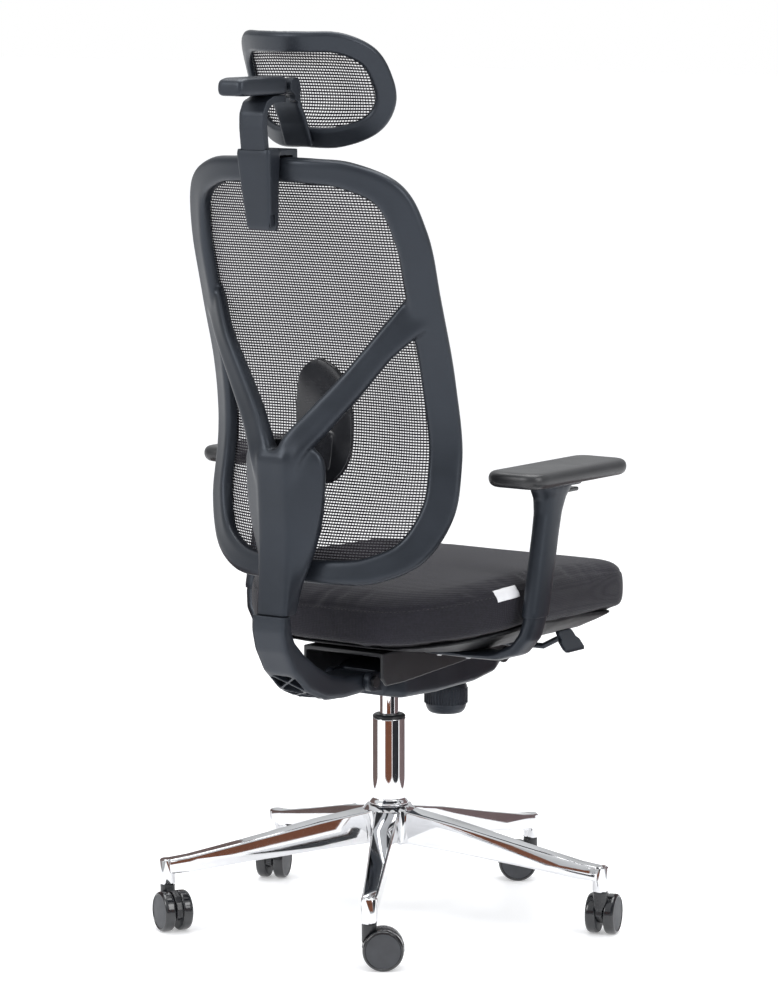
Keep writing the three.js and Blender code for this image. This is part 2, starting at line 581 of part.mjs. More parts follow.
// Curved arm of the rear yoke, on one side of the spine.
function yokeArm() {
  const path = spline([V(10, 276, 690), V(28, 276, 738), V(60, 254, 782), V(99, 233, 830), V(143, 214, 888),
    V(184, 189, 938)], false, 16);
  return loft(path.map((point, i) => {
    const tangent = path[Math.min(i + 1, 16)].clone().sub(path[Math.max(i - 1, 0)]).normalize();
    const rear = V(0.0035 * point.x, 1, 0).normalize();
    const out = V(0, 0, 0).crossVectors(rear, tangent).normalize();
    const [width, thick] = [44 - 0.5 * i, 26 - 0.6 * i];
    return roundRect(width, thick, 6, 2).map(([u, v]) =>
      point.clone().addScaledVector(out, u).addScaledVector(rear, v));
  }));
}

// Spine: narrow rear face, sides flaring forward to the lumbar guide. stations: [z, rear, half, front]
const spine = loft([[497, 295, 25, 262], [502, 295, 27, 262], [540, 291, 33, 256], [575, 289, 45, 251],
  [610, 288, 57, 249], [655, 290, 66, 249], [700, 293, 69, 250], [728, 295, 66, 252],
  [738, 290, 58, 256]].map(([z, rear, half, front]) => {
  const edge = [[half, front + 3], [half, front + 11], [28, rear - 4], [24, rear]];
  const left = edge.map(([x, y]) => [-x, y]).reverse();
  return [[half - 3, front], ...edge, ...left, [3 - half, front]].map(([x, y]) => V(x, y, z));
}));
const gusset = loft([[228, 564, 46, 22], [245, 562, 44, 34], [262, 560, 44, 44]].map(([y, z, width, height]) =>
  roundRect(width, height, 5, 2).map(([u, v]) => V(u, y, z + v))));
const tonguePocket = box(-18 - GAP, 18 + GAP, 270 - GAP, 282 + GAP, 480, 552);
const arm = yokeArm();
add('back_frame', cut(
  join(rimRing(backLoop, backY, backHalf, BACK_RIM_THICK, 5), spine, arm, mirrored(arm), gusset),
  tonguePocket), nylon);
const backEdge = (out) => backHalf(out) - 7.8;
const backFilm = filmDepth(backY, BACK_WRAP, 176, [557, 1140], 70);
add('back_mesh', membrane(backLoop, backY, backFilm, backEdge, -7.9, 1.4, [0.15, 0.4, 0.65, 0.85, 1]), mesh);

// Back lever: curved bar from the recline pivot up to the spine, its underside open between ribs.
const leverBar = swept([[100, 374.5, 59, 27], [112, 374, 60, 30], [150, 374, 60, 32], [190, 380, 60, 38],
  [228, 397, 60, 42], [262, 424, 60, 36], [284, 452, 60, 26], [292, 476, 60, 22],
  [292, 496.5, 60, 21]], 5);
const leverKnuckle = rod(V(-30, RECLINE_Y, RECLINE_Z), V(30, RECLINE_Y, RECLINE_Z), 13.5, 28);
const leverTongue = box(-18, 18, 270, 282, 470, 550);

// Four triangular pockets around a crossed rib, sunk into the underside at one place on the bend.
function ribPockets(y, z, slope) {
  const [w, l, rib] = [23, 19, 1.6];
  const corners = [[[w - rib * 2, l], [-w + rib * 2, l], [0, rib]], [[w, l - rib * 2], [w, -l + rib * 2], [rib * 1.6, 0]]];
  const all = corners.flatMap((three) => [three, three.map(([u, v]) => [-u, -v])]);
  return all.map((three) => new THREE.ExtrudeGeometry(
    new THREE.Shape(three.map(([u, v]) => new THREE.Vector2(u, v))), { depth: 30, bevelEnabled: false },
  ).translate(0, 0, -12).rotateX(slope).translate(0, y, z));
}
add('back_lever', cut(
  join(leverBar, leverKnuckle, leverTongue),
  pivotBore(RECLINE_Y, RECLINE_Z),
  ...ribPockets(186, 352, 0.25), ...ribPockets(224, 366, 0.52), ...ribPockets(256, 390, 0.8)), nylon);

// Lumbar support: guide rail in front of the spine, and an oval pad that slides on it.
const PAD_FILM = 9;             // pad's middle behind the mesh
add('lumbar_guide', join(
  stacked([[622, 0, 238, 58, 21, 5], [626, 0, 238, 62, 21, 5], [742, 0, 238, 62, 21, 5],
    [748, 0, 238, 56, 21, 5]]),
  box(-9, 9, 222, 232, 630, 740)), glossy);

function lumbarPad() {
  const outline = symmetricLoop([[0, 674], [27, 680], [45, 706], [50, 752], [46, 806], [33, 844], [0, 862]], 32);
  const plate = membrane(outline, backFilm, backFilm, () => 0, PAD_FILM, 8, [0.2, 0.6, 0.92, 1]);
  const neck = loft([[164, 34, 60], [200, 34, 34], [221 - GAP, 40, 34]].map(([y, width, height]) =>
    roundRect(width, height, 5, 2).map(([u, v]) => V(u, y, 722 + v))));
  return join(plate, neck);
}
add('lumbar_pad', lumbarPad(), glossy);

// ---------------------------------------------------------------- headrest
const STEM_LEAN = 0.1228;
const stemY = (z) => 326.5 - (1167 - z) * STEM_LEAN;
const holderBody = loft([[1054, 40, 298, 318], [1058, 43, 297, 320.5], [1110, 51, 301, 328],
  [1158, 58, 303.5, 333.5], [1165, 59, 303.5, 334], [1170, 56, 303.5, 333]].map(([z, width, front, rear]) =>
  roundRect(width, rear - front, 4, 3).map(([u, v]) => V(u, (front + rear) / 2 + v, z))));
const holderHook = join(box(-27, 27, 262, 306, 1160.5, 1169), box(-27, 27, 262, 273.5, 1138, 1164));
const stemSlot = swept([[stemY(1040), 1040, 43.8, 11.8], [stemY(1185), 1185, 43.8, 11.8]], 2);
add('headrest_holder', cut(join(holderBody, holderHook), stemSlot), nylon);
add('headrest_stem', swept([[stemY(1060), 1060, 43, 11], [stemY(1167), 1167, 43, 11],
  [stemY(1200), 1200, 43, 11], [330, 1220, 43, 11], [323, 1233, 43, 11], [309, 1239.5, 43, 11],
  [282, 1240, 43, 11]], 2), nylon);

// Cross arm: slides fore and aft on the stem, and ends in the headrest's hinge knuckle.
const crossArm = loft([[387, 1257, 38, 18], [383, 1258, 43, 23], [372, 1259, 45, 26], [284, 1259, 45, 26],
  [280, 1259, 43, 24]].map(([y, z, width, height]) =>
  roundRect(width, height, 6, 3).map(([u, v]) => V(u, y, z + v))));
const crossTongue = join(box(-12, 12, HEAD_PIVOT_Y, 284, 1249.5, 1266.5),
  rod(V(-12, HEAD_PIVOT_Y, HEAD_PIVOT_Z), V(12, HEAD_PIVOT_Y, HEAD_PIVOT_Z), 11, 24));
add('headrest_arm', cut(join(crossArm, crossTongue),
  rod(V(-20, HEAD_PIVOT_Y, HEAD_PIVOT_Z), V(20, HEAD_PIVOT_Y, HEAD_PIVOT_Z), 4.3, 16)), nylon);

const bracketStrap = swept([[256, 1243, 48, 9], [248.5, 1228, 48, 9], [236, 1206, 48, 9],
  [221.8, 1172, 48, 9]], 3);
const bracketCheeks = [-1, 1].map((side) => join(
  rod(V(side * 12.4, HEAD_PIVOT_Y, HEAD_PIVOT_Z), V(side * 24, HEAD_PIVOT_Y, HEAD_PIVOT_Z), 12, 24),
  box(side > 0 ? 12.4 : -24, side > 0 ? 24 : -12.4, 250, 262, 1236, 1258)));
add('headrest_bracket', join(bracketStrap, ...bracketCheeks,
  rod(V(-14, HEAD_PIVOT_Y, HEAD_PIVOT_Z), V(14, HEAD_PIVOT_Y, HEAD_PIVOT_Z), 4, 16)), nylon);

const headLoop = symmetricLoop([[0, 1183], [55, 1184], [95, 1202], [113, 1232], [115, 1266], [106, 1300],
  [80, 1318], [40, 1320], [0, 1320]], 44);
const headHalf = rimHalf(HEAD_RIM, 1);
const headFilm = filmDepth(headY, HEAD_WRAP, 108, [1184, 1320], 22);
add('headrest_frame', rimRing(headLoop, headY, headHalf, HEAD_RIM_THICK, 4.5), nylon);
add('headrest_mesh', membrane(headLoop, headY, headFilm, (out) => headHalf(out) - 7.8, -4.6, 1.2, [0.25, 0.55, 0.8, 1]), mesh);

export default part;
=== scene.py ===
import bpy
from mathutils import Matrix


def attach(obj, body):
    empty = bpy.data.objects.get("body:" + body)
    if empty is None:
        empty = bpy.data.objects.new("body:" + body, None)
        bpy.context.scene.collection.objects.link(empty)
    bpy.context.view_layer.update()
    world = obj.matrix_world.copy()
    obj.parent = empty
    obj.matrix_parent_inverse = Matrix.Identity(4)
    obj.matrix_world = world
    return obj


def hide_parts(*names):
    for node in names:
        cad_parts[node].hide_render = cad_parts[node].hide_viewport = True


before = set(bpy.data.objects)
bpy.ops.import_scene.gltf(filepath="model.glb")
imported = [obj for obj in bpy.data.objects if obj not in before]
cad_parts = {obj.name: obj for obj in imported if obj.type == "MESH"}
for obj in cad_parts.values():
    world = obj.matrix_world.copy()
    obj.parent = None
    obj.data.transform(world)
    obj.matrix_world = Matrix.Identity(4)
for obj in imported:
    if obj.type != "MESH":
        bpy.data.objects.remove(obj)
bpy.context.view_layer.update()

import math

import bmesh
import bpy
import numpy as np
from mathutils import Euler, Vector
from mathutils.bvhtree import BVHTree

# ---------------------------------------------------------------- studio
# A white room with a seamless pale floor and one broad lamp on each side. A few brown and black
# cards stand round the chair, which only show as streaks in the lift's chrome.
scene = bpy.context.scene
scene.view_settings.view_transform = "Standard"
collection = scene.collection

EYE_PITCH = math.radians(7.62)
LENS_HEIGHT = 36.0
LENS_LENGTH = 158.3
COLUMN_X, COLUMN_Y = 9.7, -13.2
EYE = Vector((COLUMN_X / 1000 - 3.775, COLUMN_Y / 1000 + 5.292, 1.503))
heading = Vector((COLUMN_X / 1000 - EYE.x, COLUMN_Y / 1000 - EYE.y, 0)).normalized()
sight = heading * math.cos(EYE_PITCH) - Vector((0, 0, math.sin(EYE_PITCH)))
camera_data = bpy.data.cameras.new("camera")
camera_data.sensor_fit = "VERTICAL"
camera_data.sensor_height = LENS_HEIGHT
camera_data.lens = LENS_LENGTH
camera_data.clip_end = 100
camera = bpy.data.objects.new("camera", camera_data)
camera.location = EYE
camera.rotation_euler = sight.to_track_quat("-Z", "Y").to_euler()
collection.objects.link(camera)
scene.camera = camera


def new_node(tree, kind, **values):
    """A node with its input values, where an underscore stands for a space."""
    made = tree.nodes.new(kind)
    for label, value in values.items():
        made.inputs[label.replace("_", " ")].default_value = value
    return made


def wire(tree, source, out, target, into):
    """Links one node's output to another's input."""
    tree.links.new(source.outputs[out], target.inputs[into])


SKY_LOW, SKY_HIGH = 0.5, 0.95
world = bpy.data.worlds.new("white_room")
scene.world = world
world.use_nodes = True
sky = world.node_tree
sky.nodes.clear()
sky_out = new_node(sky, "ShaderNodeOutputWorld")
sky_mix = new_node(sky, "ShaderNodeMixShader")
sky_seen = new_node(sky, "ShaderNodeBackground")
sky_light = new_node(sky, "ShaderNodeBackground")
sky_way = new_node(sky, "ShaderNodeTexCoord")
sky_split = new_node(sky, "ShaderNodeSeparateXYZ")
sky_range = new_node(sky, "ShaderNodeMapRange")
sky_path = new_node(sky, "ShaderNodeLightPath")
sky_seen.inputs["Color"].default_value = (1, 1, 1, 1)
sky_light.inputs["Color"].default_value = (0.97, 0.985, 1, 1)
sky_range.inputs["From Min"].default_value = -0.05
sky_range.inputs["From Max"].default_value = 0.8
sky_range.inputs["To Min"].default_value = SKY_LOW
sky_range.inputs["To Max"].default_value = SKY_HIGH
wire(sky, sky_way, "Generated", sky_split, "Vector")
wire(sky, sky_split, "Z", sky_range, "Value")
wire(sky, sky_range, "Result", sky_light, "Strength")
wire(sky, sky_path, "Is Camera Ray", sky_mix, "Fac")
wire(sky, sky_light, "Background", sky_mix, 1)
wire(sky, sky_seen, "Background", sky_mix, 2)
wire(sky, sky_mix, "Shader", sky_out, "Surface")


def lamp(name, place, aim, size, watts):
    data = bpy.data.lights.new(name, "AREA")
    data.shape = "RECTANGLE"
    data.size, data.size_y = size
    data.energy = watts
    lit = bpy.data.objects.new(name, data)
    lit.location = place
    lit.rotation_euler = (Vector(aim) - Vector(place)).to_track_quat("-Z", "Y").to_euler()
    collection.objects.link(lit)


lamp("lamp_left", (1.6, 3.6, 2.6), (0, 0, 0.8), (1.6, 2.2), 60)
lamp("lamp_right", (-3.4, 0.6, 2.4), (0, 0, 0.8), (1.6, 2.2), 55)
lamp("lamp_top", (0.2, -0.4, 3.4), (0, 0, 0.4), (2.4, 2.4), 70)


def card(name, corners, colour, rough, seen, glow=0.0, only_mirrored=False):
    mesh = bpy.data.meshes.new(name)
    mesh.from_pydata(corners, [], [(0, 1, 2, 3)])
    paint = bpy.data.materials.new(name)
    paint.use_nodes = True
    paint.node_tree.nodes["Principled BSDF"].inputs["Base Color"].default_value = (*colour, 1)
    paint.node_tree.nodes["Principled BSDF"].inputs["Roughness"].default_value = rough
    paint.node_tree.nodes["Principled BSDF"].inputs["Emission Color"].default_value = (1, 1, 1, 1)
    paint.node_tree.nodes["Principled BSDF"].inputs["Emission Strength"].default_value = glow
    mesh.materials.append(paint)
    sheet = bpy.data.objects.new(name, mesh)
    collection.objects.link(sheet)
    sheet.visible_camera = seen
    if only_mirrored:
        sheet.visible_diffuse = sheet.visible_shadow = False


FLOOR_HALF = 30
card("floor", [(x * FLOOR_HALF, y * FLOOR_HALF, 0) for x, y in
               ((-1, -1), (1, -1), (1, 1), (-1, 1))], (0.93, 0.93, 0.94), 0.35, True, 0.3)
CARDS_AWAY = 0.6
for name, turns, heights, colour in (
        ("brown_card", (-27, 20), (0.1, 0.229), (0.2, 0.066, 0.03)),
        ("black_card", (23, 70), (0.1, 0.5), (0.01, 0.01, 0.014)),
        ("tan_card", (76, 140), (0.1, 0.5), (0.2, 0.14, 0.14)),
        ("rear_card", (-150, -86), (0.1, 0.5), (0.16, 0.11, 0.1))):
    ends = [Vector((-heading.x, -heading.y, 0)) * CARDS_AWAY for _ in turns]
    for end, turn in zip(ends, turns):
        end.rotate(Euler((0, 0, math.radians(turn))))
    card(name, [ends[0] + Vector((0, 0, heights[0])), ends[1] + Vector((0, 0, heights[0])),
                ends[1] + Vector((0, 0, heights[1])), ends[0] + Vector((0, 0, heights[1]))],
         colour, 0.8, False, only_mirrored=True)

# ---------------------------------------------------------------- star base
# One aluminium die casting: a hub, five tapering arms open underneath and a socket at each tip.
# It is ground and buffed to a mirror, with the polishing left slightly uneven.


def placed(x, y, z):
    """A point given in millimetres from the lift column's axis."""
    return Vector(((x + COLUMN_X) / 1000, (y + COLUMN_Y) / 1000, z / 1000))


def welded(*names):
    """CAD nodes' shapes as one mesh with its doubles merged."""
    shape = bmesh.new()
    for name in names:
        shape.from_mesh(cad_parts[name].data)
    bmesh.ops.remove_doubles(shape, verts=shape.verts, dist=2e-5)
    return shape


def loose(name, shape):
    """An object in the scene from a bmesh, before it becomes a piece."""
    mesh = bpy.data.meshes.new(name)
    shape.to_mesh(mesh)
    shape.free()
    thing = bpy.data.objects.new(name, mesh)
    collection.objects.link(thing)
    return thing


def settled(thing):
    """Applies an object's modifiers to its mesh and removes them."""
    graph = bpy.context.evaluated_depsgraph_get()
    mesh = bpy.data.meshes.new_from_object(thing.evaluated_get(graph), depsgraph=graph)
    thing.modifiers.clear()
    thing.data = mesh
    return thing


def fitted(thing, body, finishes, stands_for=(), sharp=None):
    """Makes an object a piece: its finish, its smoothness and the body it rides on."""
    mesh = thing.data
    if not mesh.materials:
        for finish in finishes if isinstance(finishes, (list, tuple)) else [finishes]:
            mesh.materials.append(finish)
    mesh.shade_smooth()
    if sharp is not None:
        mesh.set_sharp_from_angle(angle=math.radians(sharp))
    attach(thing, body)
    if stands_for:
        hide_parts(*stands_for)
    return thing


def shader_group(name, inputs, outputs):
    tree = bpy.data.node_groups.new(name, "ShaderNodeTree")
    for label, kind, value in inputs:
        socket = tree.interface.new_socket(label, in_out="INPUT", socket_type=kind)
        if value is not None:
            socket.default_value = value
    for label, kind in outputs:
        tree.interface.new_socket(label, in_out="OUTPUT", socket_type=kind)
    return tree, tree.nodes.new("NodeGroupInput"), tree.nodes.new("NodeGroupOutput")


# Grain: fine surface relief plus a slow drift of tone, shared by every hard finish.
grain, grain_in, grain_out = shader_group(
    "grain", [("Vector", "NodeSocketVector", None), ("Grain Scale", "NodeSocketFloat", 900.0),
              ("Drift Scale", "NodeSocketFloat", 12.0), ("Scuffs", "NodeSocketFloat", 0.2)],
    [("Height", "NodeSocketFloat"), ("Tone", "NodeSocketFloat")])
fine = new_node(grain, "ShaderNodeTexNoise", Detail=3)
slow = new_node(grain, "ShaderNodeTexNoise", Detail=5)
streak_map = new_node(grain, "ShaderNodeMapping", Scale=(1, 1, 9))
streak = new_node(grain, "ShaderNodeTexNoise", Scale=40, Detail=6)
blend_tone = new_node(grain, "ShaderNodeMix")
wire(grain, grain_in, "Vector", fine, "Vector")
wire(grain, grain_in, "Vector", slow, "Vector")
wire(grain, grain_in, "Vector", streak_map, "Vector")
wire(grain, streak_map, "Vector", streak, "Vector")
wire(grain, grain_in, "Grain Scale", fine, "Scale")
wire(grain, grain_in, "Drift Scale", slow, "Scale")
wire(grain, grain_in, "Scuffs", blend_tone, "Factor")
wire(grain, slow, "Fac", blend_tone, "A")
wire(grain, streak, "Fac", blend_tone, "B")
wire(grain, fine, "Fac", grain_out, "Height")
wire(grain, blend_tone, "Result", grain_out, "Tone")


def grained(name, dark, light, rough, grain_scale=900, drift=12, scuffs=0.2, relief=0.2,
            depth=0.0002, metallic=0.0, **sockets):
    """A finish from the grain group: tone turns dark into light and smooth into rough."""
    finish = bpy.data.materials.new(name)
    finish.use_nodes = True
    tree = finish.node_tree
    surface = tree.nodes["Principled BSDF"]
    place = new_node(tree, "ShaderNodeTexCoord")
    wear = new_node(tree, "ShaderNodeGroup")
    wear.node_tree = grain
    wear.inputs["Grain Scale"].default_value = grain_scale
    wear.inputs["Drift Scale"].default_value = drift
    wear.inputs["Scuffs"].default_value = scuffs
    spread = new_node(tree, "ShaderNodeMapRange", From_Min=0.3, From_Max=0.7)
    colour = new_node(tree, "ShaderNodeMix")
    colour.data_type = "RGBA"
    colour.inputs["A"].default_value = (*dark, 1)
    colour.inputs["B"].default_value = (*light, 1)
    sheen = new_node(tree, "ShaderNodeMapRange", From_Min=0.3, From_Max=0.7, To_Min=rough[0],
                     To_Max=rough[1])
    bump = new_node(tree, "ShaderNodeBump", Strength=relief, Distance=depth)
    wire(tree, place, "Object", wear, "Vector")
    wire(tree, wear, "Tone", spread, "Value")
    wire(tree, spread, "Result", colour, "Factor")
    wire(tree, colour, "Result", surface, "Base Color")
    wire(tree, wear, "Tone", sheen, "Value")
    wire(tree, sheen, "Result", surface, "Roughness")
    wire(tree, wear, "Height", bump, "Height")
    wire(tree, bump, "Normal", surface, "Normal")
    surface.inputs["Metallic"].default_value = metallic
    for label, value in sockets.items():
        surface.inputs[label.replace("_", " ")].default_value = value
    return finish


polished = grained("polished_aluminium", (0.64, 0.645, 0.66), (0.76, 0.765, 0.78), (0.04, 0.09),
                   grain_scale=60, drift=9, scuffs=0.35, relief=0.05, depth=0.0004, metallic=1.0)
base_shape = welded("star_base")
bmesh.ops.dissolve_limit(base_shape, angle_limit=math.radians(0.6), verts=base_shape.verts,
                         edges=base_shape.edges)
star_base = loose("star_base_casting", base_shape)
edges = star_base.modifiers.new("edges", "BEVEL")
edges.width = 0.0012
edges.segments = 3
edges.limit_method = "ANGLE"
edges.angle_limit = math.radians(24)
flat = star_base.modifiers.new("flat", "WEIGHTED_NORMAL")
flat.mode = "FACE_AREA"
flat.weight = 90
settled(star_base)
fitted(star_base, "base", polished, ["star_base"])

# ---------------------------------------------------------------- casters
# Five twin-wheel casters of black nylon: a hood over two wheels with polished rims and satin
# discs, on a pressed steel axle, and a zinc-plated stem that clicks into the arm's socket.
WHEEL_RADIUS, WHEEL_GAP, TRAIL = 30.0, 11.0, 20.0
BASE_RADIUS, BASE_TURN = 339.0, 120.7
HEADINGS = (215.5, 287.5, 35.5, 110.5, 150.5)
rim_gloss = grained("wheel_rim", (0.006, 0.0065, 0.008), (0.012, 0.013, 0.016), (0.1, 0.2),
                    grain_scale=500, drift=60, relief=0.06, depth=0.0001, Coat_Weight=0.4)
disc_satin = grained("wheel_disc", (0.03, 0.032, 0.037), (0.046, 0.049, 0.056), (0.42, 0.6),
                     grain_scale=2200, drift=70, relief=0.25, depth=0.0001)
hood_black = grained("caster_hood", (0.009, 0.0095, 0.011), (0.02, 0.021, 0.024), (0.2, 0.36),
                     grain_scale=1600, drift=50, relief=0.12, depth=0.0001)
zinc = grained("zinc_plate", (0.5, 0.51, 0.52), (0.66, 0.67, 0.68), (0.24, 0.4),
               grain_scale=700, drift=80, scuffs=0.6, relief=0.1, metallic=1.0)


HOLD_EDGE = 0.6


def revolve(shape, profile, centre, axis, sides, finish_of=lambda k: 0, closed=True):
    """Adds a turned solid: profile is [radius, distance along the axis] in millimetres."""
    held = [profile[0]]
    for near, far in zip(profile, profile[1:]):
        gap = math.dist(near, far)
        if gap > HOLD_EDGE * 5:
            for share in (HOLD_EDGE / gap, 1 - HOLD_EDGE / gap):
                held.append((near[0] + (far[0] - near[0]) * share,
                             near[1] + (far[1] - near[1]) * share))
        held.append(far)
    profile = held
    axis = Vector(axis).normalized()
    across = axis.orthogonal().normalized()
    other = axis.cross(across)
    rings = []
    for radius, along in profile:
        base = Vector(centre) + axis * along / 1000
        if radius == 0:
            rings.append([shape.verts.new(base)])
            continue
        rings.append([shape.verts.new(base + (across * math.cos(t) + other * math.sin(t))
                                      * radius / 1000)
                      for t in (2 * math.pi * k / sides for k in range(sides))])
    if closed:
        rings.append(rings[0])
    for k, (low, high) in enumerate(zip(rings, rings[1:])):
        for i in range(sides):
            corners = [low[i % len(low)], low[(i + 1) % len(low)],
                       high[(i + 1) % len(high)], high[i % len(high)]]
            corners = list(dict.fromkeys(corners))
            if len(corners) > 2:
                shape.faces.new(corners).material_index = finish_of(profile[k][0])
    return shape


def turned(name, profile, centre, axis, sides):
    """A turned solid as an object, its faces outward."""
    shape = revolve(bmesh.new(), profile, centre, axis, sides)
    bmesh.ops.remove_doubles(shape, verts=shape.verts, dist=1e-6)
    bmesh.ops.recalc_face_normals(shape, faces=shape.faces)
    return loose(name, shape)


def summed(index, values, count):
    return np.stack([np.bincount(index, values[:, k], count) for k in range(3)], axis=1)


def unit(v):
    return v / np.maximum(np.linalg.norm(v, axis=-1, keepdims=True), 1e-12)


def flowing(mesh, rounds, keep=0.8):
    """Turns a surface's shallow facets into one flowing curve and leaves its real edges."""
    faces, points = len(mesh.polygons), len(mesh.vertices)
    co = np.empty(points * 3, np.float32)
    mesh.vertices.foreach_get("co", co)
    co = co.reshape(-1, 3).astype(float)
    loop_point = np.empty(len(mesh.loops), np.int64)
    mesh.loops.foreach_get("vertex_index", loop_point)
    loop_edge = np.empty(len(mesh.loops), np.int64)
    mesh.loops.foreach_get("edge_index", loop_edge)
    total = np.empty(faces, np.int64)
    mesh.polygons.foreach_get("loop_total", total)
    loop_face = np.repeat(np.arange(faces), total)
    normal = np.empty(faces * 3, np.float32)
    mesh.polygons.foreach_get("normal", normal)
    normal = normal.reshape(-1, 3).astype(float)
    order = np.argsort(loop_edge, kind="stable")
    same = loop_edge[order][1:] == loop_edge[order][:-1]
    a, b = loop_face[order][:-1][same], loop_face[order][1:][same]
    for _ in range(rounds):
        alike = np.clip((np.einsum("ij,ij->i", normal[a], normal[b]) - keep) / (1 - keep), 0, 1)
        alike = (alike ** 2)[:, None]
        normal = unit(normal + summed(a, normal[b] * alike, faces)
                      + summed(b, normal[a] * alike, faces))
    uses = np.bincount(loop_point, minlength=points)[:, None]
    for _ in range(14):
        middle = summed(loop_face, co[loop_point], faces) / total[:, None]
        reach = np.einsum("ij,ij->i", normal[loop_face], middle[loop_face] - co[loop_point])
        co += summed(loop_point, normal[loop_face] * reach[:, None], points) / np.maximum(uses, 1)
    mesh.vertices.foreach_set("co", co.astype(np.float32).ravel())
    mesh.update()


def refined(thing, voxel, passes, flow=0, factor=0.5):
    """Rounds a moulding's edges: an even fine mesh, then a few smoothing passes."""
    even = thing.modifiers.new("even", "REMESH")
    even.mode = "VOXEL"
    even.voxel_size = voxel / 1000
    soft = thing.modifiers.new("soft", "SMOOTH")
    soft.factor = factor
    soft.iterations = passes
    settled(thing)
    if flow:
        flowing(thing.data, flow)
    return thing


WHEEL_PROFILE = [(5, 0.0), (24, 0.0), (28.2, 0.4), (29.4, 1.4), (30, 3.4), (30, 11.6), (29.6, 13.8),
                 (28.6, 15.6), (27.2, 16.5), (26.2, 16.6), (25.7, 16.1), (25.3, 15.6), (18, 16.1),
                 (9, 16.4), (0, 16.5), (0, 0.0)]
DISC_FROM = 25.4
for n, caster_heading in enumerate(HEADINGS, 1):
    turn = math.radians(BASE_TURN + 72 * (n - 1))
    toward = math.radians(caster_heading)
    hub_at = placed(BASE_RADIUS * math.cos(turn) + TRAIL * math.cos(toward),
                    BASE_RADIUS * math.sin(turn) + TRAIL * math.sin(toward), WHEEL_RADIUS)
    axle = Vector((-math.sin(toward), math.cos(toward), 0))
    pair = bmesh.new()
    for way in (1, -1):
        revolve(pair, WHEEL_PROFILE, hub_at + axle * way * WHEEL_GAP / 2000, axle * way, 72,
                lambda ring: 1 if ring < DISC_FROM else 0)
    bmesh.ops.remove_doubles(pair, verts=pair.verts, dist=1e-6)
    bmesh.ops.recalc_face_normals(pair, faces=pair.faces)
    fitted(loose(f"caster{n}_wheel_pair", pair), f"wheels{n}",
           [rim_gloss, disc_satin], [f"caster{n}_wheel_a", f"caster{n}_wheel_b"], sharp=50)
    hood = refined(loose(f"caster{n}_cover", welded(f"caster{n}_hood")), 0.9, 3)
    fitted(hood, f"caster{n}", hood_black, [f"caster{n}_hood"])
    for part in ("stem", "axle"):
        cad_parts[f"caster{n}_{part}"].data.materials.clear()
        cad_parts[f"caster{n}_{part}"].data.materials.append(zinc)

# ---------------------------------------------------------------- gas lift
# A chromed steel tube pressed into the hub with a bright flared collar, a black guide bushing
# at its mouth and the hard-chromed piston rod, all turned and ground parts.
chrome = grained("chrome_plate", (0.7, 0.705, 0.72), (0.8, 0.805, 0.82), (0.02, 0.05),
                 grain_scale=80, drift=14, scuffs=0.5, relief=0.03, depth=0.0003, metallic=1.0)
bushing_black = grained("guide_bushing", (0.012, 0.0125, 0.014), (0.022, 0.023, 0.026),
                        (0.25, 0.4), grain_scale=1500, drift=60, relief=0.1)
column_foot = placed(0, 0, 0)
UP = (0, 0, 1)
tube = turned("lift_outer_tube", [
    (18, 112), (24, 112), (25, 113), (25, 173), (28.6, 173.3), (29.5, 174.5), (29.3, 177),
    (27.4, 179.6), (25.6, 181.4), (25, 183), (25, 303.6), (24.4, 304.8), (23.4, 305), (18, 305)],
    column_foot, UP, 96)
fitted(tube, "base", chrome, ["lift_tube"], sharp=60)
rod = turned("lift_piston_rod", [(0, 200), (13, 200), (14, 201.5), (14, 373), (13.2, 374),
                                 (0, 374)], column_foot, UP, 72)
fitted(rod, "piston", chrome, ["lift_piston"], sharp=50)
bushing = turned("lift_guide_bushing", [
    (14.4, 283), (17.8, 283), (17.8, 305.4), (23.6, 305.4), (24.8, 306.2), (24.4, 308.6),
    (21.5, 310.6), (15.4, 311), (14.4, 310.2)], column_foot, UP, 72)
fitted(bushing, "base", bushing_black, ["lift_bushing"], sharp=50)

# ---------------------------------------------------------------- tilt mechanism
# A moulded black housing with its blackened pivot axles, hanging under a pressed steel plate
# that has a dark powder coat. The axles are pressed in and headed at both ends.
nylon = grained("black_nylon", (0.0065, 0.0078, 0.0108), (0.0115, 0.0138, 0.0188), (0.33, 0.45),
                grain_scale=1500, drift=14, scuffs=0.15, relief=0.22, depth=0.00012,
                Specular_IOR_Level=0.5, Specular_Tint=(0.8, 0.88, 1.0, 1.0))
powder = grained("powder_coat", (0.011, 0.0118, 0.0138), (0.019, 0.02, 0.023), (0.36, 0.5),
                 grain_scale=1100, drift=30, relief=0.4, depth=0.0002)
black_axle = grained("blackened_axle", (0.03, 0.031, 0.034), (0.06, 0.061, 0.066), (0.25, 0.4),
                     grain_scale=600, drift=90, scuffs=0.7, relief=0.08, metallic=0.6)
housing = refined(loose("tilt_housing_casting", welded("tilt_housing")), 1.5, 4, 60)
fitted(housing, "mechanism", nylon, ["tilt_housing"])
plate = refined(loose("seat_plate_pressing", welded("seat_plate")), 1.3, 4)
fitted(plate, "seat", powder, ["seat_plate"])
for name in ("back_pivot_axle", "seat_pivot_axle"):
    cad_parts[name].data.materials.clear()
    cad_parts[name].data.materials.append(black_axle)

# ---------------------------------------------------------------- tension knob
# A round moulded grip under the housing that sets the recline force: fine ribs all round its
# skirt, a dished cap below, on a short steel spindle.


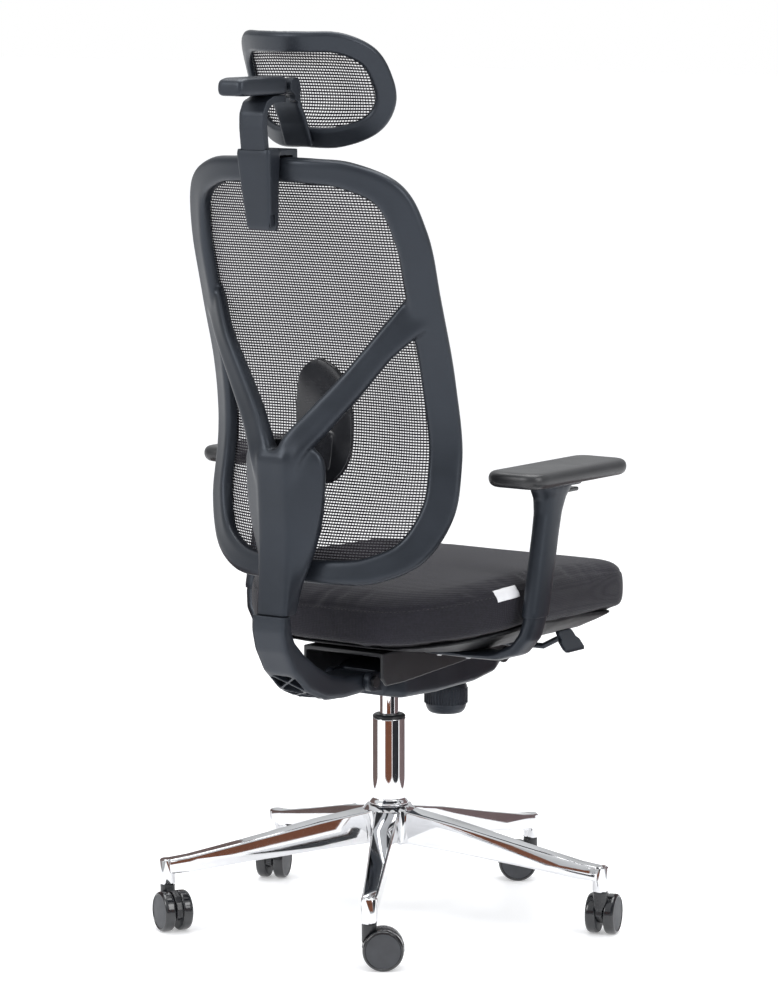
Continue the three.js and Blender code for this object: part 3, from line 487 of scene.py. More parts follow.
def shape_tree(name, inputs):
    """A Geometry Nodes tree with named inputs. Returns it with its input and output nodes."""
    tree = bpy.data.node_groups.new(name, "GeometryNodeTree")
    tree.interface.new_socket("Geometry", in_out="INPUT", socket_type="NodeSocketGeometry")
    for label, kind, value in inputs:
        socket = tree.interface.new_socket(label, in_out="INPUT", socket_type=kind)
        if value is not None:
            socket.default_value = value
    tree.interface.new_socket("Geometry", in_out="OUTPUT", socket_type="NodeSocketGeometry")
    return tree, tree.nodes.new("NodeGroupInput"), tree.nodes.new("NodeGroupOutput")


def grown(thing, tree, values):
    """Runs a tree on an object with the given input values and keeps the plain mesh."""
    run = thing.modifiers.new("nodes", "NODES")
    run.node_group = tree
    for item in tree.interface.items_tree:
        if item.in_out == "INPUT" and item.name in values:
            run[item.identifier] = values[item.name]
    return settled(thing)


def ended(tree, made, given, out):
    """Closes a tree: real geometry, then its material."""
    real = new_node(tree, "GeometryNodeRealizeInstances")
    paint = new_node(tree, "GeometryNodeSetMaterial")
    tree.links.new(made, real.inputs["Geometry"])
    wire(tree, real, "Geometry", paint, "Geometry")
    wire(tree, given, "Material", paint, "Material")
    wire(tree, paint, "Geometry", out, "Geometry")


KNOB_Y, KNOB_RIBS, RIB_RING, RIB_MIDDLE = -150.0, 40, 32.2, 317.0
knob_at = placed(0, KNOB_Y, 0)
knob = turned("tension_knob_grip", [
    (0, 292), (12, 291.4), (18, 290.4), (21, 290), (24.5, 291), (27.6, 293.6), (30, 298),
    (31.6, 304), (32.6, 312), (33, 325), (32.4, 331), (30.6, 335.4), (27, 338), (8.4, 338),
    (8, 339), (8, 362), (0, 362)],
    knob_at, UP, 96)
fitted(knob, "knob", nylon, ["tension_knob"], sharp=50)

rib_tree, rib_in, rib_out = shape_tree("knob_ribs", [
    ("Rib Radius", "NodeSocketFloat", 0.001), ("Rib Height", "NodeSocketFloat", 0.02),
    ("Material", "NodeSocketMaterial", None)])
rib_place = new_node(rib_tree, "GeometryNodeInstanceOnPoints")
rib_bar = new_node(rib_tree, "GeometryNodeMeshCylinder", Vertices=8)
wire(rib_tree, rib_in, "Rib Radius", rib_bar, "Radius")
wire(rib_tree, rib_in, "Rib Height", rib_bar, "Depth")
wire(rib_tree, rib_in, "Geometry", rib_place, "Points")
wire(rib_tree, rib_bar, "Mesh", rib_place, "Instance")
ended(rib_tree, rib_place.outputs["Instances"], rib_in, rib_out)
rib_feet = bmesh.new()
for k in range(KNOB_RIBS):
    angle = 2 * math.pi * k / KNOB_RIBS
    rib_feet.verts.new(knob_at + Vector((RIB_RING * math.cos(angle), RIB_RING * math.sin(angle),
                                         RIB_MIDDLE)) / 1000)
knob_ribs = grown(loose("tension_knob_ribs", rib_feet), rib_tree,
                  {"Rib Radius": 0.0014, "Rib Height": 0.023, "Material": nylon})
fitted(knob_ribs, "knob", nylon, sharp=40)

# ---------------------------------------------------------------- paddle levers
# Two moulded finger paddles on wire arms under the seat: seat height on the sitter's right,
# tilt lock on the left. The paddle is hollowed a little for the fingertips.
for lever in ("height_lever", "tilt_lock_lever"):
    made = refined(loose(f"{lever}_paddle", welded(lever)), 0.8, 3)
    fitted(made, lever, nylon, [lever])

# ---------------------------------------------------------------- seat shell
# A thin moulded tray that carries the cushion, screwed to the plate from below, in a plain
# dark grey plastic with a coarse texture.
tray_grey = grained("tray_plastic", (0.008, 0.0085, 0.01), (0.016, 0.0165, 0.019), (0.5, 0.65),
                    grain_scale=900, drift=20, relief=0.45, depth=0.0002, Specular_IOR_Level=0.35)
tray = refined(loose("seat_tray", welded("seat_shell")), 2.4, 4)
fitted(tray, "seat", tray_grey, ["seat_shell"])

# ---------------------------------------------------------------- seat cushion
# Moulded foam pulled into a sewn cover of fine plain-weave cloth: a domed top panel, a side
# band, and one seam all round between them that draws the edge in.
SEAT_HALF, SEAT_FRONT, SEAT_REAR = 236.0, -322.0, 153.0
FRONT_CORNER, REAR_CORNER = 52.0, 180.0
SEAT_BOTTOM, SEAT_CREASE, SEAT_RISE = 430.0, 490.0, 32.0
CROWN_Y, CROWN_REAR, CROWN_FRONT = -90.0, 243.0, 320.0
CLOTH_FRAMES, PUFF_LIMIT = 20, 0.006


def arch(y):
    """Height that the seat gains towards its middle, front to rear, in millimetres."""
    return SEAT_RISE * (1 - ((y - CROWN_Y) / (CROWN_REAR if y > CROWN_Y else CROWN_FRONT)) ** 2)


def seat_outline(inset, steps=14):
    pairs = []
    for cx, cy, radius, start in (
            (SEAT_HALF - REAR_CORNER, SEAT_REAR - REAR_CORNER, REAR_CORNER, 0),
            (REAR_CORNER - SEAT_HALF, SEAT_REAR - REAR_CORNER, REAR_CORNER, 1),
            (FRONT_CORNER - SEAT_HALF, SEAT_FRONT + FRONT_CORNER, FRONT_CORNER, 2),
            (SEAT_HALF - FRONT_CORNER, SEAT_FRONT + FRONT_CORNER, FRONT_CORNER, 3)):
        for k in range(steps + 1):
            angle = (start + k / steps) * math.pi / 2
            pairs.append((cx + (radius - inset) * math.cos(angle),
                          cy + (radius - inset) * math.sin(angle)))
    return pairs


def stack(shape, rings, looped=False, capped=True):
    """Skins a list of equal rings of points, given as vectors in metres."""
    rows = [[shape.verts.new(point) for point in ring] for ring in rings]
    pairs = list(zip(rows, rows[1:])) + ([(rows[-1], rows[0])] if looped else [])
    for low, high in pairs:
        for i in range(len(low)):
            shape.faces.new((low[i], low[(i + 1) % len(low)], high[(i + 1) % len(high)], high[i]))
    if capped and not looped:
        shape.faces.new(rows[0][::-1])
        shape.faces.new(rows[-1])
    return shape


def seat_ring(inset, z, scale=1.0):
    return [placed(x * scale, -85 + (y + 85) * scale, z + arch(-85 + (y + 85) * scale))
            for x, y in seat_outline(inset)]


weave, weave_in, weave_out = shader_group(
    "plain_weave", [("Vector", "NodeSocketVector", None), ("Threads", "NodeSocketFloat", 700.0)],
    [("Height", "NodeSocketFloat"), ("Tone", "NodeSocketFloat")])
weave_split = new_node(weave, "ShaderNodeSeparateXYZ")
wire(weave, weave_in, "Vector", weave_split, "Vector")
waves = []
for label in ("X", "Y", "Z"):
    times = new_node(weave, "ShaderNodeMath")
    times.operation = "MULTIPLY"
    wave = new_node(weave, "ShaderNodeMath")
    wave.operation = "SINE"
    weave.links.new(weave_split.outputs[label], times.inputs[0])
    wire(weave, weave_in, "Threads", times, 1)
    wire(weave, times, "Value", wave, 0)
    waves.append(wave)
cross = new_node(weave, "ShaderNodeMath")
cross.operation = "MULTIPLY"
weave.links.new(waves[0].outputs["Value"], cross.inputs[0])
weave.links.new(waves[1].outputs["Value"], cross.inputs[1])
upright = new_node(weave, "ShaderNodeMath")
upright.operation = "MULTIPLY_ADD"
weave.links.new(waves[2].outputs["Value"], upright.inputs[0])
upright.inputs[1].default_value = 0.6
wire(weave, cross, "Value", upright, 2)
flecks = new_node(weave, "ShaderNodeTexNoise", Scale=260, Detail=4)
wire(weave, weave_in, "Vector", flecks, "Vector")
patches = new_node(weave, "ShaderNodeTexNoise", Scale=9)
wire(weave, weave_in, "Vector", patches, "Vector")
fleck_mix = new_node(weave, "ShaderNodeMix", Factor=0.4)
wire(weave, flecks, "Fac", fleck_mix, "A")
wire(weave, patches, "Fac", fleck_mix, "B")
wire(weave, upright, "Value", weave_out, "Height")
wire(weave, fleck_mix, "Result", weave_out, "Tone")


def woven(name, dark, light, rough, threads, relief, depth, **sockets):
    finish = grained(name, dark, light, rough, relief=relief, depth=depth, **sockets)
    tree = finish.node_tree
    swap = next(node for node in tree.nodes if node.type == "GROUP")
    swap.node_tree = weave
    swap.inputs["Threads"].default_value = threads
    place = next(node for node in tree.nodes if node.type == "TEX_COORD")
    bump = next(node for node in tree.nodes if node.type == "BUMP")
    ranges = [node for node in tree.nodes if node.type == "MAP_RANGE"]
    wire(tree, place, "Object", swap, "Vector")
    wire(tree, swap, "Height", bump, "Height")
    for node in ranges:
        wire(tree, swap, "Tone", node, "Value")
    return finish


seat_cloth = woven("seat_cloth", (0.0082, 0.0078, 0.0112), (0.0205, 0.0193, 0.027), (0.8, 0.95),
                   2400, 0.5, 0.0004, Sheen_Weight=0.12, Sheen_Roughness=0.45,
                   Specular_IOR_Level=0.3)
COVER_INSET = -2.0
pad = stack(bmesh.new(), [
    seat_ring(COVER_INSET + 10, SEAT_BOTTOM + 2.5, s) for s in (0.12, 0.4, 0.7, 1.0)] + [
    seat_ring(COVER_INSET + i, SEAT_BOTTOM + z) for i, z in (
        (4, 7), (1.2, 14), (0, 24), (0, 40), (1.4, 54), (6.5, 62.5), (16, 69), (36, 71.5))] + [
    seat_ring(COVER_INSET + 36, SEAT_BOTTOM + z, s) for s, z in (
        (0.86, 70.5), (0.66, 68.5), (0.4, 66.5), (0.12, 66))])
bmesh.ops.recalc_face_normals(pad, faces=pad.faces)
cushion = refined(loose("seat_cushion_upholstery", pad), 5.0, 2)
rest = np.array([v.co for v in cushion.data.vertices])
cloth = cushion.modifiers.new("cloth", "CLOTH")
cloth.settings.use_pressure = True
cloth.settings.uniform_pressure_force = 4
cloth.settings.effector_weights.gravity = 0
for step in range(1, CLOTH_FRAMES + 1):
    scene.frame_set(step)
    bpy.context.view_layer.update()
settled(cushion)
scene.frame_set(1)
moved = np.array([v.co for v in cushion.data.vertices])
shift = moved - rest
length = np.linalg.norm(shift, axis=1, keepdims=True)
moved = rest + shift * np.minimum(1, PUFF_LIMIT / np.maximum(length, 1e-9))
cushion.data.vertices.foreach_set("co", moved.astype(np.float32).ravel())
cushion.data.update()
finer = cushion.modifiers.new("finer", "SUBSURF")
finer.levels = finer.render_levels = 1
settled(cushion)
mesh = cushion.data
co = np.array([v.co for v in mesh.vertices])
mm_x = co[:, 0] * 1000 - COLUMN_X
mm_y = co[:, 1] * 1000 - COLUMN_Y
half_span = np.where(mm_y > CROWN_Y, CROWN_REAR, CROWN_FRONT)
level = co[:, 2] * 1000 - SEAT_RISE * (1 - ((mm_y - CROWN_Y) / half_span) ** 2)
centre = np.array([COLUMN_X, COLUMN_Y - 85, 0]) / 1000
away = co - centre
away[:, 2] = 0
away /= np.maximum(np.linalg.norm(away, axis=1, keepdims=True), 1e-9)
near_edge = np.clip((np.hypot(mm_x / SEAT_HALF, (mm_y + 85) / 237) - 0.8) * 8, 0, 1)
SEAM_LEVEL = SEAT_CREASE + 1.0
seam_pull = 1.3 * np.exp(-((level - SEAM_LEVEL) / 2.2) ** 2) * near_edge / 1000
co -= away * seam_pull[:, None]
mesh.vertices.foreach_set("co", co.astype(np.float32).ravel())
mesh.update()
fitted(cushion, "seat", seat_cloth, ["seat_cushion"])

# ---------------------------------------------------------------- seat tag
# A blank strip of white satin tape sewn into the cover's side under its upper edge. It is a
# thin sheet that lies along the cover, with its free edge lifted a little in waves.
TAG_FROM, TAG_LENGTH, TAG_LOW, TAG_HEIGHT = -6.0, 42.0, 50.0, 16.0
TAG_ROWS, TAG_COLUMNS, TAG_THICK, TAG_LIFT, TAG_WAVE = 6, 18, 0.0004, 0.0008, 0.0009
cushion_skin = BVHTree.FromPolygons([v.co.copy() for v in mesh.vertices],
                                    [tuple(p.vertices) for p in mesh.polygons])
tag_white = grained("tag_satin", (0.72, 0.72, 0.74), (0.82, 0.82, 0.84), (0.4, 0.55),
                    grain_scale=1500, drift=60, relief=0.15, depth=0.0001)
tag_shape = bmesh.new()
tag_rows = []
for i in range(TAG_ROWS + 1):
    row = []
    for k in range(TAG_COLUMNS + 1):
        y = TAG_FROM + TAG_LENGTH * k / TAG_COLUMNS
        spot = placed(-300, y, SEAT_BOTTOM + arch(y) + TAG_LOW + TAG_HEIGHT * i / TAG_ROWS)
        struck = cushion_skin.ray_cast(spot, Vector((1, 0, 0)))[0]
        lifted = TAG_LIFT + TAG_WAVE * (1 - i / TAG_ROWS) * (1 + 0.6 * math.sin(k / 2.9))
        row.append(tag_shape.verts.new(struck - Vector((lifted, 0, 0))))
    tag_rows.append(row)
for low, high in zip(tag_rows, tag_rows[1:]):
    for k in range(TAG_COLUMNS):
        tag_shape.faces.new((low[k], high[k], high[k + 1], low[k + 1]))
tag = loose("seat_side_tag", tag_shape)
thick = tag.modifiers.new("thick", "SOLIDIFY")
thick.thickness = TAG_THICK
thick.offset = -1
settled(tag)
fitted(tag, "seat", tag_white)

# ---------------------------------------------------------------- seam stitches
# One row of short stitches in dark thread all round the cover, where its top panel meets the
# side band. Each stitch stands on the cloth and runs along the seam.
bit_tree, bit_in, bit_out = shape_tree("small_parts", [
    ("Model", "NodeSocketObject", None), ("Material", "NodeSocketMaterial", None)])
bit_model = new_node(bit_tree, "GeometryNodeObjectInfo")
bit_way = new_node(bit_tree, "GeometryNodeInputNamedAttribute")
bit_way.data_type = "FLOAT_VECTOR"
bit_way.inputs["Name"].default_value = "way"
bit_turn = new_node(bit_tree, "FunctionNodeAlignRotationToVector")
bit_turn.axis = "Z"
bit_place = new_node(bit_tree, "GeometryNodeInstanceOnPoints")
wire(bit_tree, bit_in, "Model", bit_model, "Object")
wire(bit_tree, bit_way, "Attribute", bit_turn, "Vector")
wire(bit_tree, bit_in, "Geometry", bit_place, "Points")
wire(bit_tree, bit_model, "Geometry", bit_place, "Instance")
wire(bit_tree, bit_turn, "Rotation", bit_place, "Rotation")
ended(bit_tree, bit_place.outputs["Instances"], bit_in, bit_out)


def bits(name, profile, sides, spots, finish):
    """Copies of one small turned part at spots, each given as its foot and its direction."""
    model = turned(f"{name}_model", profile, (0, 0, 0), UP, sides)
    mesh = bpy.data.meshes.new(name)
    mesh.from_pydata([foot for foot, _ in spots], [], [])
    mesh.attributes.new("way", "FLOAT_VECTOR", "POINT").data.foreach_set(
        "vector", [value for _, way in spots for value in way])
    thing = bpy.data.objects.new(name, mesh)
    collection.objects.link(thing)
    grown(thing, bit_tree, {"Model": model, "Material": finish})
    bpy.data.objects.remove(model)
    return thing


def through(points, closed, count):
    """Points evenly spaced on a centripetal Catmull-Rom curve."""
    p = np.array(points, float)
    total = len(p)
    spans = total if closed else total - 1
    made = []
    for i in range(spans):
        if closed:
            p0, p1, p2, p3 = (p[(i + k) % total] for k in (-1, 0, 1, 2))
        else:
            p1, p2 = p[i], p[i + 1]
            p0 = p[i - 1] if i else 2 * p1 - p2
            p3 = p[i + 2] if i + 2 < total else 2 * p2 - p1
        d0, d1, d2 = (max(np.linalg.norm(b - a) ** 0.5, 1e-4)
                      for a, b in ((p0, p1), (p1, p2), (p2, p3)))
        m1 = ((p1 - p0) / d0 - (p2 - p0) / (d0 + d1) + (p2 - p1) / d1) * d1
        m2 = ((p2 - p1) / d1 - (p3 - p1) / (d1 + d2) + (p3 - p2) / d2) * d1
        for t in np.linspace(0, 1, 40, endpoint=False):
            made.append(p1 + m1 * t + (-3 * p1 + 3 * p2 - 2 * m1 - m2) * t ** 2
                        + (2 * p1 - 2 * p2 + m1 + m2) * t ** 3)
    made.append(p[0] if closed else p[-1])
    made = np.array(made)
    run = np.concatenate([[0], np.cumsum(np.linalg.norm(np.diff(made, axis=0), axis=1))])
    wanted = np.linspace(0, run[-1], count, endpoint=not closed)
    return np.stack([np.interp(wanted, run, made[:, k]) for k in range(made.shape[1])], axis=1)


STITCHES, STITCH_HALF, STITCH_CLEAR = 240, 0.0018, 0.0001
STITCH = [(0, 0), (0.45, 0.3), (0.5, 1.8), (0.45, 3.3), (0, 3.6)]
thread = grained("sewing_thread", (0.012, 0.0115, 0.014), (0.024, 0.023, 0.028), (0.6, 0.8),
                 grain_scale=4000, drift=300, relief=0.3)
seam_ring = seat_ring(COVER_INSET + 2, SEAM_LEVEL + 2.5)
seam_line = through([[v.x, v.y, v.z] for v in seam_ring[::3]], True, STITCHES)
stitch_spots = []
for k, foot in enumerate(seam_line):
    along = Vector(seam_line[(k + 1) % len(seam_line)] - foot).normalized()
    found = cushion_skin.find_nearest(Vector(foot))
    stitch_spots.append((found[0] + found[1] * STITCH_CLEAR - along * STITCH_HALF, along))
stitches = bits("seat_seam_stitches", STITCH, 6, stitch_spots, thread)
fitted(stitches, "seat", thread)

# ---------------------------------------------------------------- bracket screws
# Four zinc-plated screws with recessed round heads hold each armrest bracket to the seat's
# tray, driven upward from below.
BRACKET_BOTTOM = 412.3
SCREW_HEAD = [(0, -3), (4.6, -3), (4.6, 0.6), (4.2, 1.6), (3.4, 2.2), (2.2, 2.4), (2, 0.8),
              (0, 0.8)]
screws = []
for hand in (-1, 1):
    for x, y in ((100, -22), (100, 12), (150, -22), (150, 8)):
        screws.append((placed(hand * x, y, BRACKET_BOTTOM), Vector((0, 0, -1))))
fitted(bits("bracket_screws", SCREW_HEAD, 24, screws, zinc), "seat", zinc, sharp=40)

# ---------------------------------------------------------------- armrests
# Two alike, mirrored: a bent bracket bolted under the seat whose post slides in a flared
# nylon sleeve with a push button, a carrier plate on top and a soft skinned foam pad.
pad_skin = grained("pad_skin", (0.012, 0.0122, 0.0135), (0.022, 0.0224, 0.025), (0.3, 0.42),
                   grain_scale=800, drift=16, relief=0.35, depth=0.0002)
button_gloss = grained("button_gloss", (0.008, 0.0085, 0.01), (0.014, 0.015, 0.018), (0.12, 0.22),
                       grain_scale=900, drift=60, relief=0.05, Coat_Weight=0.3)
for side in ("left", "right"):
    for part, body, slot, finish, voxel, passes in (
            ("arm_bracket", "seat", "black_nylon", nylon, 1.4, 4),
            ("arm_sleeve", f"{side}_sleeve", "black_nylon", nylon, 1.2, 3),
            ("arm_button", f"{side}_button", "glossy_black", button_gloss, 0.6, 2),
            ("pad_carrier", f"{side}_carrier", "black_nylon", nylon, 1.0, 2),
            ("arm_pad", f"{side}_pad", "pad_foam", pad_skin, 1.6, 4)):
        node = f"{side}_{part}"
        made = refined(loose(f"{node}_moulding", welded(node)), voxel, passes, 70)
        fitted(made, body, finish, [node])

# ---------------------------------------------------------------- back frame
# One large glass-filled nylon moulding: a wrapped rim with a rabbet for the mesh, two yoke arms
# that leave the rim at half height and meet the spine, and the spine's wide flared foot.
BACK_WRAP, BACK_RIM, BACK_SLIM, BACK_THICK = 0.00176, 48.0, 0.72, 22.0


centre_line = through([[480, 246], [540, 234], [640, 219], [740, 203], [840, 214], [940, 242],
                       [1050, 271], [1150, 290], [1200, 296]], False, 400)


def back_depth(x, z):
    """How far behind the column the back's middle surface stands, in millimetres."""
    return np.interp(z, centre_line[:, 0], centre_line[:, 1]) - BACK_WRAP * np.square(x)


def rear_normal(depth, x, z):
    return unit(np.stack([depth(x - 1, z) - depth(x + 1, z), np.full_like(x, 2.0),
                          depth(x, z - 1) - depth(x, z + 1)], axis=-1))


def rim_frames(half, count, depth):
    """Points, outward directions and rear normals round a symmetric rim."""
    outline = through(half + [[-x, z] for x, z in half[-2:0:-1]], True, count)
    x, z = outline[:, 0], outline[:, 1]
    point = np.stack([x, depth(x, z), z], axis=1)
    tangent = unit(np.roll(point, -1, 0) - np.roll(point, 1, 0))
    rear = rear_normal(depth, x, z)
    return point, unit(np.cross(rear, tangent)), rear


def rim_half(width, slim):
    return lambda out: width / 2 * (slim + (1 - slim) * np.minimum(1, 1.25 * np.abs(out[:, 0])))


def in_place(points):
    """Millimetre points from the column's axis as vectors in the row frame."""
    return [placed(*point) for point in points]


def rim_solid(shape, half_outline, count, depth, half, thick, rabbet):
    point, out, rear = rim_frames(half_outline, count, depth)
    w, t = half(out)[:, None], thick / 2
    one = np.ones_like(w)
    section = [(-w, (-t + rabbet) * one), (-w + 9, (-t + rabbet) * one), (-w + 9, -t * one),
               (w - 5, -t * one), (w, (-t + 5) * one), (w, (t - 4) * one), (w - 4, t * one),
               (-w + 4, t * one), (-w, (t - 4) * one)]
    rings = np.stack([point + out * u + rear * v for u, v in section], axis=1)
    return stack(shape, [in_place(ring) for ring in rings], looped=True)


def round_rect(width, height, radius, steps=4):
    pairs = []
    for k, (sx, sy) in enumerate(((1, 1), (-1, 1), (-1, -1), (1, -1))):
        for i in range(steps + 1):
            angle = (k + i / steps) * math.pi / 2
            pairs.append((sx * (width / 2 - radius) + radius * math.cos(angle),
                          sy * (height / 2 - radius) + radius * math.sin(angle)))
    return pairs


BACK_HALF = [[0, 557], [60, 557], [115, 562], [165, 588], [194, 645], [197, 715], [193, 820],
             [191, 950], [187, 1045], [166, 1106], [115, 1133], [60, 1139], [0, 1140]]
back_half = rim_half(BACK_RIM, BACK_SLIM)
frame_shape = rim_solid(bmesh.new(), BACK_HALF, 320, back_depth, back_half, BACK_THICK, 5)
yoke = through([[10, 276, 690], [28, 276, 738], [60, 254, 782], [99, 233, 830], [143, 212, 888],
                [188, 178, 944]], False, 60)
for hand in (1, -1):
    rings = []
    for i, middle in enumerate(yoke):
        share = i / (len(yoke) - 1) * 16
        tangent = unit(yoke[min(i + 1, 59)] - yoke[max(i - 1, 0)])
        rear = unit(np.array([0.0035 * middle[0], 1, 0]))
        out = unit(np.cross(rear, tangent))
        rings.append([placed(hand * q[0], q[1], q[2]) for q in (
            middle + out * u + rear * v
            for u, v in round_rect(44 - 0.5 * share + 26 * max(0, share / 16 - 0.72) ** 1.3 * 4,
                                   26 - 0.6 * share, 6))])
    stack(frame_shape, rings)
SPINE = through([[497, 295, 25, 262], [540, 291, 33, 256], [575, 289, 45, 251], [610, 288, 57, 249],
                 [655, 290, 66, 249], [700, 293, 69, 250], [728, 295, 66, 252],
                 [738, 290, 58, 256]], False, 40)
rings = []
for z, rear, half, front in SPINE:
    right = [(half, front + 3), (half, front + 11), (28, rear - 4), (24, rear)]
    left = [(-x, y) for x, y in right[::-1]]
    rings.append([placed(x, y, z) for x, y in
                  [(half - 3, front)] + right + left + [(3 - half, front)]])
stack(frame_shape, rings)
stack(frame_shape, [[placed(u, y, z + v) for u, v in round_rect(width, height, 5)]
                    for y, z, width, height in ((228, 564, 46, 22), (245, 562, 44, 34),
                                                (262, 560, 44, 44))])
bmesh.ops.recalc_face_normals(frame_shape, faces=frame_shape.faces)
back_frame = refined(loose("back_frame_moulding", frame_shape), 2.2, 4, 30)
fitted(back_frame, "back", nylon, ["back_frame"])

# ---------------------------------------------------------------- back mesh
# An open elastic mesh stretched over the rim and held in its rabbet: flat polyester strands
# across, finer threads upright, woven at a four millimetre pitch.
mesh_thread = grained("mesh_thread", (0.009, 0.0075, 0.0112), (0.02, 0.0165, 0.0245), (0.5, 0.7),
                      grain_scale=1500, drift=30, relief=0.2, Specular_IOR_Level=0.3)


def film_of(depth, wrap, half, low, high, reach):
    """Depth of cloth pulled flat between a rim's sides, which follows it at top and bottom."""
    def film(x, z):
        bound = np.minimum(1, np.exp((z - high) / reach) + np.exp((low - z) / reach))
        return depth(np.zeros_like(x), z) - wrap * (bound * np.square(x) + (1 - bound) * half ** 2)
    return film


weft_tree, weft_in, weft_out = shape_tree("strands", [
    ("Across Radius", "NodeSocketFloat", 0.0007), ("Upright Radius", "NodeSocketFloat", 0.0004),
    ("Across Sides", "NodeSocketInt", 4), ("Upright Sides", "NodeSocketInt", 3),
    ("Material", "NodeSocketMaterial", None)])
is_across = new_node(weft_tree, "GeometryNodeInputNamedAttribute")
is_across.data_type = "BOOLEAN"
is_across.inputs["Name"].default_value = "across"
parted = new_node(weft_tree, "GeometryNodeSeparateGeometry")
parted.domain = "EDGE"
weft_join = new_node(weft_tree, "GeometryNodeJoinGeometry")
wire(weft_tree, weft_in, "Geometry", parted, "Geometry")
wire(weft_tree, is_across, "Attribute", parted, "Selection")
for kind, source in (("Across", parted.outputs["Selection"]),
                     ("Upright", parted.outputs["Inverted"])):
    line = new_node(weft_tree, "GeometryNodeMeshToCurve")
    section = new_node(weft_tree, "GeometryNodeCurvePrimitiveCircle")
    strand = new_node(weft_tree, "GeometryNodeCurveToMesh", Fill_Caps=True)
    weft_tree.links.new(source, line.inputs["Mesh"])
    weft_tree.links.new(weft_in.outputs[f"{kind} Sides"], section.inputs["Resolution"])
    weft_tree.links.new(weft_in.outputs[f"{kind} Radius"], section.inputs["Radius"])
    wire(weft_tree, line, "Curve", strand, "Curve")
    wire(weft_tree, section, "Curve", strand, "Profile Curve")
    wire(weft_tree, strand, "Mesh", weft_join, "Geometry")
ended(weft_tree, weft_join.outputs["Geometry"], weft_in, weft_out)


def woven_panel(name, half_outline, depth, film, inset, offset, across_pitch, upright_pitch,
                across_radius, upright_radius):
    """Strands across and upright over a stretched panel, and the panel's flat area."""
    point, out, _ = rim_frames(half_outline, 400, depth)
    border = (point - out * inset(out)[:, None])[:, [0, 2]]
    middle = border.mean(0)
    polar = border - middle
    angle = np.unwrap(np.arctan2(polar[:, 1], polar[:, 0]))
    reach = np.hypot(polar[:, 0], polar[:, 1])
    order = np.argsort(angle % (2 * np.pi))
    angle, reach = (angle % (2 * np.pi))[order], reach[order]

    def on_panel(x, z):
        dx, dz = x - middle[0], z - middle[1]
        share = np.hypot(dx, dz) / np.interp(np.arctan2(dz, dx) % (2 * np.pi), angle, reach,
                                             period=2 * np.pi)
        hold = np.minimum(share, 1) ** 4
        surface = lambda u, w: hold * depth(u, w) + (1 - hold) * film(u, w)
        spot = np.stack([x, surface(x, z), z], axis=1)
        return spot + rear_normal(surface, x, z) * offset

    def crossings(axis, value):
        a, b = border, np.roll(border, -1, 0)
        hit = (a[:, axis] - value) * (b[:, axis] - value) < 0
        t = (value - a[hit, axis]) / (b[hit, axis] - a[hit, axis])
        found = a[hit, 1 - axis] + t * (b[hit, 1 - axis] - a[hit, 1 - axis])
        return (found.min(), found.max()) if len(found) > 1 else None

    points, lines, across = [], [], []
    low, high = border.min(0), border.max(0)
    for axis, pitch, step in ((1, across_pitch, 9.0), (0, upright_pitch, 9.0)):
        count = int((high[axis] - low[axis]) / pitch)
        for k in range(count):
            value = low[axis] + (k + 0.5) * (high[axis] - low[axis]) / count
            ends = crossings(axis, value)
            if ends is None or ends[1] - ends[0] < 8:
                continue
            run = np.linspace(ends[0], ends[1], max(3, int((ends[1] - ends[0]) / step)))
            level = np.full_like(run, value)
            spots = on_panel(run, level) if axis else on_panel(level, run)
            first = len(points)
            points += in_place(spots)
            lines += [(first + i, first + i + 1) for i in range(len(run) - 1)]
            across += [axis == 1] * (len(run) - 1)
    mesh = bpy.data.meshes.new(name)
    mesh.from_pydata(points, lines, [])
    mesh.attributes.new("across", "BOOLEAN", "EDGE").data.foreach_set("value", across)
    thing = bpy.data.objects.new(name, mesh)
    collection.objects.link(thing)
    grown(thing, weft_tree, {"Across Radius": across_radius / 1000,
                             "Upright Radius": upright_radius / 1000, "Across Sides": 4,
                             "Upright Sides": 3, "Material": mesh_thread})
    x, z = border[:, 0], border[:, 1]
    area = abs(np.dot(x, np.roll(z, -1)) - np.dot(z, np.roll(x, -1))) / 2e6
    return thing, area


back_film = film_of(back_depth, BACK_WRAP, 176.0, 557, 1140, 70)
back_mesh, back_area = woven_panel("back_mesh_panel", BACK_HALF, back_depth, back_film,
                                   lambda out: back_half(out) - 7.8, -7.9, 4.0, 4.7, 1.2, 0.75)
fitted(back_mesh, "back", mesh_thread, ["back_mesh"])

# ---------------------------------------------------------------- back lever
# The curved nylon bar from the recline pivot up behind the seat into the spine, with a lattice
# of crossed ribs on its underside. It carries the whole back.
lever = refined(loose("back_lever_moulding", welded("back_lever")), 1.5, 3, 160)
fitted(lever, "back", nylon, ["back_lever"])

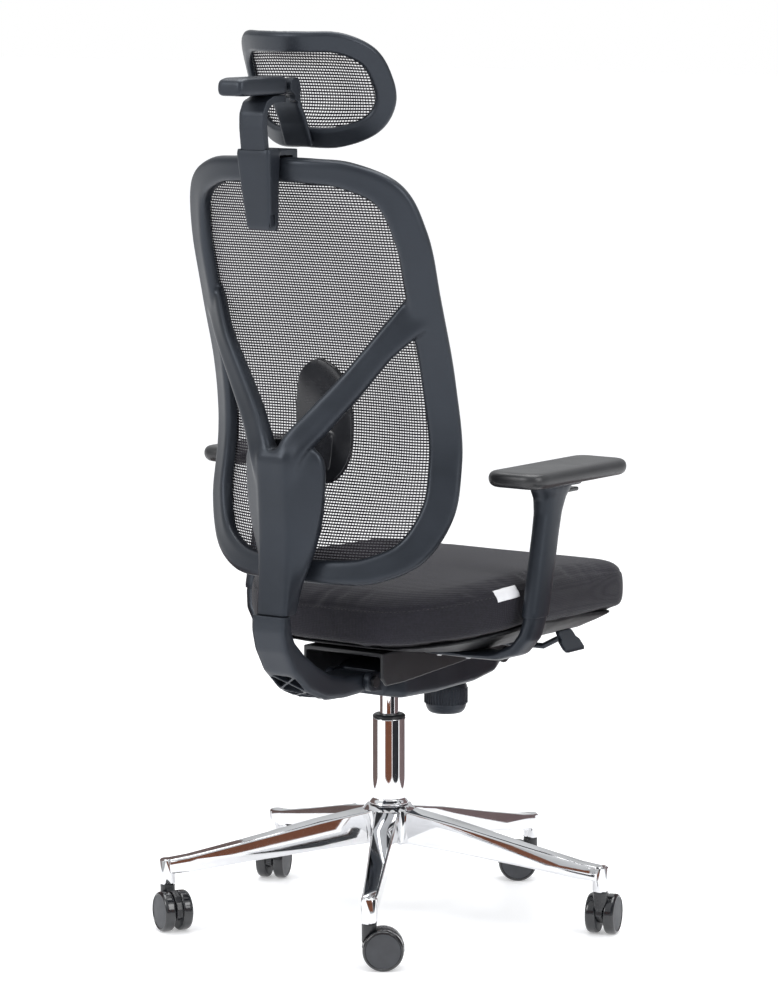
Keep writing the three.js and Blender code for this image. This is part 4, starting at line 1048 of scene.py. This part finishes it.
# ---------------------------------------------------------------- lumbar support
# A glossy oval pad that presses on the mesh from behind and slides on a short guide rail.
lumbar_gloss = grained("lumbar_gloss", (0.012, 0.0125, 0.015), (0.02, 0.021, 0.025), (0.18, 0.3),
                       grain_scale=900, drift=24, relief=0.08, depth=0.0001)
guide = refined(loose("lumbar_guide_rail", welded("lumbar_guide")), 1.2, 3)
fitted(guide, "back", lumbar_gloss, ["lumbar_guide"])
oval = refined(loose("lumbar_pad_moulding", welded("lumbar_pad")), 1.4, 4, 60)
fitted(oval, "lumbar", lumbar_gloss, ["lumbar_pad"])

# ---------------------------------------------------------------- headrest
# A clamp on the back's rim, a flat cane-shaped strap that slides up in it, a cross arm, and a
# hinged bracket that carries a smaller framed mesh of the same make as the back.
HEAD_LEAN, HEAD_WRAP, HEAD_RIM, HEAD_THICK = 0.385, 0.00495, 31.0, 14.0
HEAD_HALF = [[0, 1183], [55, 1184], [95, 1202], [113, 1232], [115, 1266], [106, 1300], [80, 1318],
             [40, 1320], [0, 1320]]


def head_depth(x, z):
    return 207 + (z - 1170) * HEAD_LEAN - HEAD_WRAP * np.square(x)


head_half = rim_half(HEAD_RIM, 1.0)
ring = rim_solid(bmesh.new(), HEAD_HALF, 220, head_depth, head_half, HEAD_THICK, 4.5)
bmesh.ops.recalc_face_normals(ring, faces=ring.faces)
head_frame = refined(loose("headrest_frame_moulding", ring), 1.3, 5)
fitted(head_frame, "headrest", nylon, ["headrest_frame"])
for node, body in (("headrest_holder", "back"), ("headrest_stem", "headrest_stem"),
                   ("headrest_arm", "headrest_arm"), ("headrest_bracket", "headrest")):
    made = refined(loose(f"{node}_moulding", welded(node)), 1.1, 3, 160)
    fitted(made, body, nylon, [node])
head_film = film_of(head_depth, HEAD_WRAP, 108.0, 1184, 1320, 22)
head_mesh, head_area = woven_panel("headrest_mesh_panel", HEAD_HALF, head_depth, head_film,
                                   lambda out: head_half(out) - 7.8, -4.6, 4.0, 4.7, 1.2, 0.75)
fitted(head_mesh, "headrest", mesh_thread, ["headrest_mesh"])
